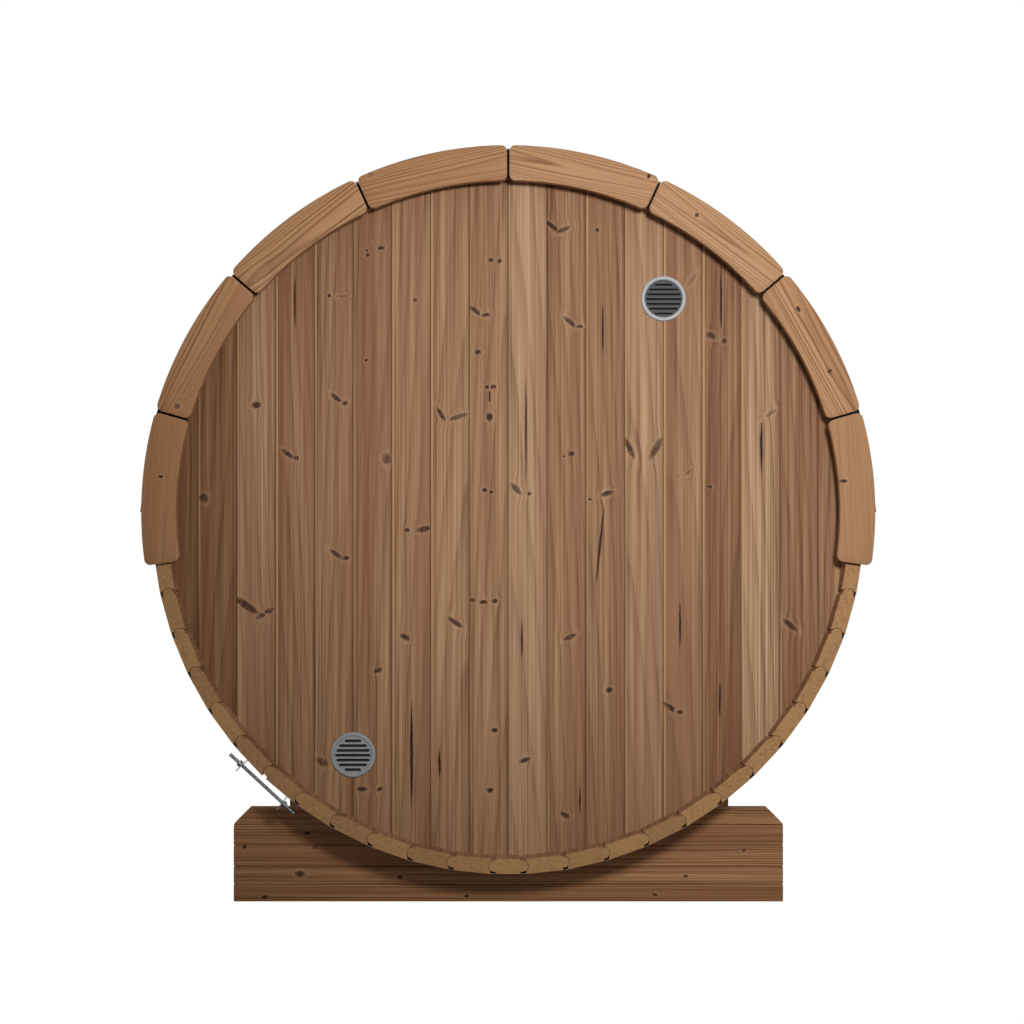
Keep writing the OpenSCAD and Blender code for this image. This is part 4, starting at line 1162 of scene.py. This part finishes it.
# %% Shingle tabs
DECK_R, ROOF_HALF, COURSES, BUTT, TOP, TAB_W, TAB_GAP = 1.01572, 0.998, 11, 0.012, 0.006, 0.333, 0.005
SHINGLE_R = DECK_R + 0.0001
EAVE_TOP, EAVE_TIP = 0.045, (1.025, 0.017)
ON_AXIS = Matrix.Translation((0, 0, AXIS_H))
eave_angle = math.asin(EAVE_TOP / DECK_R)
course_angle = (math.pi / 2 - eave_angle) / COURSES


def course_profile(thin):
    """End view of a course at the top of the axis, with its thick edge at +X."""
    shares = [i / 6 for i in range(7)]
    angles = [math.pi / 2 - course_angle * (0.5 - s) * 0.997 for s in shares]
    outer_r = [SHINGLE_R + (BUTT + (TOP - BUTT) * s) * thin for s in shares]
    inner = [(SHINGLE_R * math.cos(a), SHINGLE_R * math.sin(a)) for a in angles]
    outer = [(r * math.cos(a), r * math.sin(a)) for r, a in zip(outer_r, angles)]
    return inner + outer[::-1]


def tab(name, start, end):
    """A shingle tab along Y, with its lower corners clipped."""
    piece = traced(name, course_profile(1), X, Z, -end, -start)
    lower = lambda e: all(v.co.x > 0.05 for v in e.verts) and abs(e.verts[0].co.y - e.verts[1].co.y) < 1e-6
    return softened(piece, 0.0025, 1, lambda e: lower(e) and abs(e.verts[0].co.z - e.verts[1].co.z) > 0.004)


for side in ("left", "right"):
    pieces = []
    for c in range(COURSES):
        turn = Matrix.Rotation(math.pi / 2 - eave_angle - (c + 0.5) * course_angle, 4, "Y")
        turn = sided(ON_AXIS @ turn, side)
        under = traced(f"{side}_course_{c}", course_profile(0.55), X, Z, -ROOF_HALF, ROOF_HALF)
        pieces.append(placed(under, turn))
        start = -ROOF_HALF - (c % 2) * TAB_W / 2 - (c % 3) * 0.03
        while start < ROOF_HALF:
            low, high = max(start, -ROOF_HALF), min(start + TAB_W - TAB_GAP, ROOF_HALF)
            if high - low > 0.03:
                pieces.append(placed(tab(f"{side}_tab_{c}", low, high), turn))
            start += TAB_W
    tip_x, tip_z = EAVE_TIP
    strip = [(tip_x + 0.0001, tip_z), (tip_x + TOP, tip_z)]
    strip += [(SHINGLE_R + BUTT, EAVE_TOP - 0.001), (SHINGLE_R, EAVE_TOP - 0.001)]
    eave_strip = traced(f"{side}_eave_strip", strip, X, Z, -ROOF_HALF, ROOF_HALF)
    softened(eave_strip, 0.0015, 2, lambda e: all(v.co.x > tip_x + 0.005 for v in e.verts))
    pieces.append(placed(eave_strip, sided(ON_AXIS, side)))
    shown(joined(pieces, f"dressed_shingles_{side}"), shingle_felt, "bitumen", f"shingles_{side}", angle=25)
print("shingles:", COURSES, "courses a side")

# %% Ridge caps, battens and the pieces that keep the frame's mesh
CAP_HALF, CAP_T, CAP_LENGTH, CAPS = math.radians(8), 0.005, 0.285, 8
cap_angles = [math.pi / 2 - CAP_HALF + 2 * CAP_HALF * i / 16 for i in range(17)]
cap_r = lambda a: SHINGLE_R + 0.0001 + BUTT + (TOP - BUTT) * (1 - min(abs(a - math.pi / 2) / course_angle, 1))
cap_line = lambda lift: [((cap_r(a) + lift) * math.cos(a), (cap_r(a) + lift) * math.sin(a)) for a in cap_angles]
cap = traced("cap", cap_line(0) + cap_line(CAP_T)[::-1], X, Z, 0, CAP_LENGTH)
# Each cap lies on the one before it: its lapping end is raised by a cap's thickness
bpy.ops.object.mode_set(mode="EDIT")
pick(cap, "verts", lambda v: v.co.y < -CAP_LENGTH / 2)
bpy.ops.transform.translate(value=(0, 0, CAP_T))
finished(cap)
pitch = (2 * ROOF_HALF - CAP_LENGTH) / (CAPS - 1)
rows = [ROOF_HALF - i * pitch for i in range(CAPS)]
caps = [placed(copy_of(cap, f"cap_{y:.2f}"), Matrix.Translation((0, y, AXIS_H))) for y in rows]
discard(cap)
shown(joined(caps, "dressed_ridge_cap"), shingle_felt, "bitumen", "ridge_cap", angle=25)

BAND_Y, BAND_W = 0.970, 0.042
battens = []
for side in ("left", "right"):
    outline = [(HOOP_R, -0.007), EAVE_TIP, (DECK_R, EAVE_TOP - 0.0001), (HOOP_R, EAVE_TOP - 0.0001)]
    piece = traced(f"{side}_batten", outline, X, Z, -ROOF_HALF, ROOF_HALF)
    for end in (-1, 1):
        carved(piece, rod_along(Y, HOOP_R + 0.0016, BAND_W, (0, end * BAND_Y, 0), 240))
    cut_lines(piece, Y, PLANK_CUTS)
    knots = random_knots(random.Random(side), 0.015, -0.95, 0.95, 0.5, 0.005)
    dressed(piece, Z, Y, f"{side}batten", (HOOP_R, 0, 0.017), knots)
    battens.append(placed(piece, sided(ON_AXIS, side)))
shown(joined(battens, "dressed_eave_battens"), fascia_pine, "fascia_wood", "eave_battens")

FRAME_FINISHES = {
    deck_ply: ("roof_deck_left", "roof_deck_right"),
    edge_black: ("back_verge", "front_verge"),
    band_zinc: ("back_band", "front_band"),
}
for finish, names in FRAME_FINISHES.items():
    for name in names:
        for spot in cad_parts[name].material_slots:
            spot.material = finish
print("ridge of", CAPS, "caps")

# %% [markdown]
# ## Band tensioners
# A threaded rod draws the two upturned ends of each band together. Its thread is one tooth turned
# and lifted by the screw modifier. Nuts start as six-sided bars whose corners are turned down.

# %% Rods, nuts and washers
GAP_DEGREES, GAP_SPAN, ROD_R, ROD_LEN, ROD_OUT, PITCH = -42.8, 8.5, 0.005, 0.248, 0.025, 0.0015
rod_at = (HOOP_R + ROD_OUT) * math.cos(math.radians(GAP_SPAN / 2))
root_r = ROD_R - 0.0004
tooth = [(root_r, 0), (ROD_R, 0.0005), (ROD_R, 0.0009), (root_r, 0.0014), (root_r, PITCH)]
rod = drawn("rod", [Vector((r, 0, h)) for r, h in tooth])
bpy.ops.object.mode_set(mode="OBJECT")
turns = int(ROD_LEN / PITCH) - 1
thread = rod.modifiers.new("thread", "SCREW")
thread.axis, thread.angle, thread.screw_offset, thread.iterations = "Z", 2 * math.pi, PITCH, turns
thread.steps = thread.render_steps = 20
thread.use_merge_vertices = True
bpy.ops.object.modifier_apply(modifier="thread")
bpy.ops.object.mode_set(mode="EDIT")
bpy.ops.mesh.select_all(action="SELECT")
bpy.ops.mesh.remove_doubles(threshold=1e-6)
for near_start in (True, False):
    level = turns * PITCH / 2
    pick(rod, "edges", lambda e: len(e.link_faces) == 1 and (e.verts[0].co.z < level) == near_start)
    bpy.ops.mesh.edge_face_add()
finished(rod)
placed(rod, Matrix.Rotation(math.pi / 2, 4, "Y") @ Matrix.Translation((0, 0, -(turns + 1) * PITCH / 2)))

NUT_R, NUT_H, WASHER_R, WASHER_T, TAB_T = 0.0098150, 0.008, 0.010, 0.002, 0.003
CONE_IN, CONE_OUT, CONE_H = 0.0086, 0.0105, 0.0011
tab_reach = (HOOP_R + ROD_OUT) * math.sin(math.radians(GAP_SPAN / 2)) + TAB_T
washer_at = tab_reach + (WASHER_R + TAB_T) * math.tan(math.radians(GAP_SPAN / 2))
nut = rod_along(X, NUT_R, NUT_H, (washer_at + WASHER_T + NUT_H / 2, 0, 0), 6)
cone = [(0, 0), (CONE_IN, 0), (CONE_OUT, CONE_H), (CONE_OUT, NUT_H - CONE_H), (CONE_IN, NUT_H), (0, NUT_H)]
chamfer = spun("chamfer", cone, X, 36)
carved(nut, placed(chamfer, Matrix.Translation((washer_at + WASHER_T, 0, 0))), "INTERSECT")
washer = rod_along(X, WASHER_R, WASHER_T, (washer_at + WASHER_T / 2, 0, 0), 48)
softened(washer, 0.0003, 2, lambda e: abs(e.verts[0].co.x - e.verts[1].co.x) < 1e-6)
fixings = []
for piece in (nut, washer):
    carved(piece, rod_along(X, ROD_R + 0.0001, 0.4, (0, 0, 0), 32))
    fixings += [piece, placed(copy_of(piece, piece.name + "_far"), MIRROR)]
fixing = joined(fixings, "fixing")
for end, y in (("back", -BAND_Y), ("front", BAND_Y)):
    spot = Matrix.Translation((0, y, 0)) @ round_barrel(GAP_DEGREES) @ Matrix.Translation((0, 0, rod_at))
    for piece, short, name in ((rod, "rod", "tension_rod"), (fixing, "nuts", "band_nuts")):
        twin = placed(copy_of(piece, f"dressed_{end}_{short}"), spot)
        shown(twin, rod_zinc, "galvanised_steel", f"{end}_{name}")
discard(rod, fixing)
print("rods with", turns, "turns of thread")

# %% [markdown]
# ## Floor, light and background
# The photograph is lit by one soft lamp in front of the upper right of the end wall, which fades
# towards the lower left, and by white all round. A spot with a wide soft edge gives the fading. The
# white that the camera sees is brighter than the white that lights the wood, so the world looks up
# what kind of ray asks. A second lamp serves the front end, which the photograph does not show.

# %% Lamps and world
def lamp(name, aim, direction, distance, cone, watts, radius):
    """A spot whose light fades softly from its middle to the edge of its cone."""
    data = bpy.data.lights.new(name, "SPOT")
    data.energy, data.spot_size, data.spot_blend, data.shadow_soft_size = watts, math.radians(cone), 1, radius
    away = Vector(direction).normalized()
    spot = bpy.data.objects.new(name, data)
    spot.location = Vector(aim) + distance * away
    spot.rotation_euler = away.to_track_quat("Z", "Y").to_euler()
    bpy.context.collection.objects.link(spot)
    return spot


key = lamp("key", (0.36, -0.93, 1.65), (0.38, -4.275, 0.35), 4.306, 56, 580, 0.26)
lamp("front", (0.10, 0.93, 1.40), (0.25, 1, 0.45), 5, 60, 600, 0.4)
world = bpy.data.worlds.new("studio")
bpy.context.scene.world = world
node = emptied(world)
path = node("LightPath").outputs
seen = node("Math", (path["Is Camera Ray"], path["Is Glossy Ray"]), operation="MAXIMUM")
seen = node("Math", (seen, path["Is Transmission Ray"]), operation="MAXIMUM")
level = node("MapRange", (seen, 0, 1, 0.24, 1.0))
sky = node("Background", {"Color": linear("#ffffff"), "Strength": level})
node("OutputWorld", (sky,))
print("key lamp at", tuple(round(c, 2) for c in key.location))

# %% Floor
bpy.ops.object.select_all(action="DESELECT")
bpy.ops.mesh.primitive_plane_add(size=40)
floor = bpy.context.object
floor.name = floor.data.name = "floor"
# White paper sweep: it takes a faint shadow but never falls behind the white around it
paper = bpy.data.materials.new("paper_sweep_white")
node = emptied(paper)
path = node("LightPath").outputs
matt = node("BsdfDiffuse", {"Color": linear("#b8b8b8")})
glow = node("Emission", {"Color": linear("#ffffff"), "Strength": 1.14})
share = node("Math", (path["Is Camera Ray"], 0.87), operation="MULTIPLY")
both = node("MixShader", (share, matt, glow))
node("OutputMaterial", (both,))
floor.data.materials.append(paper)
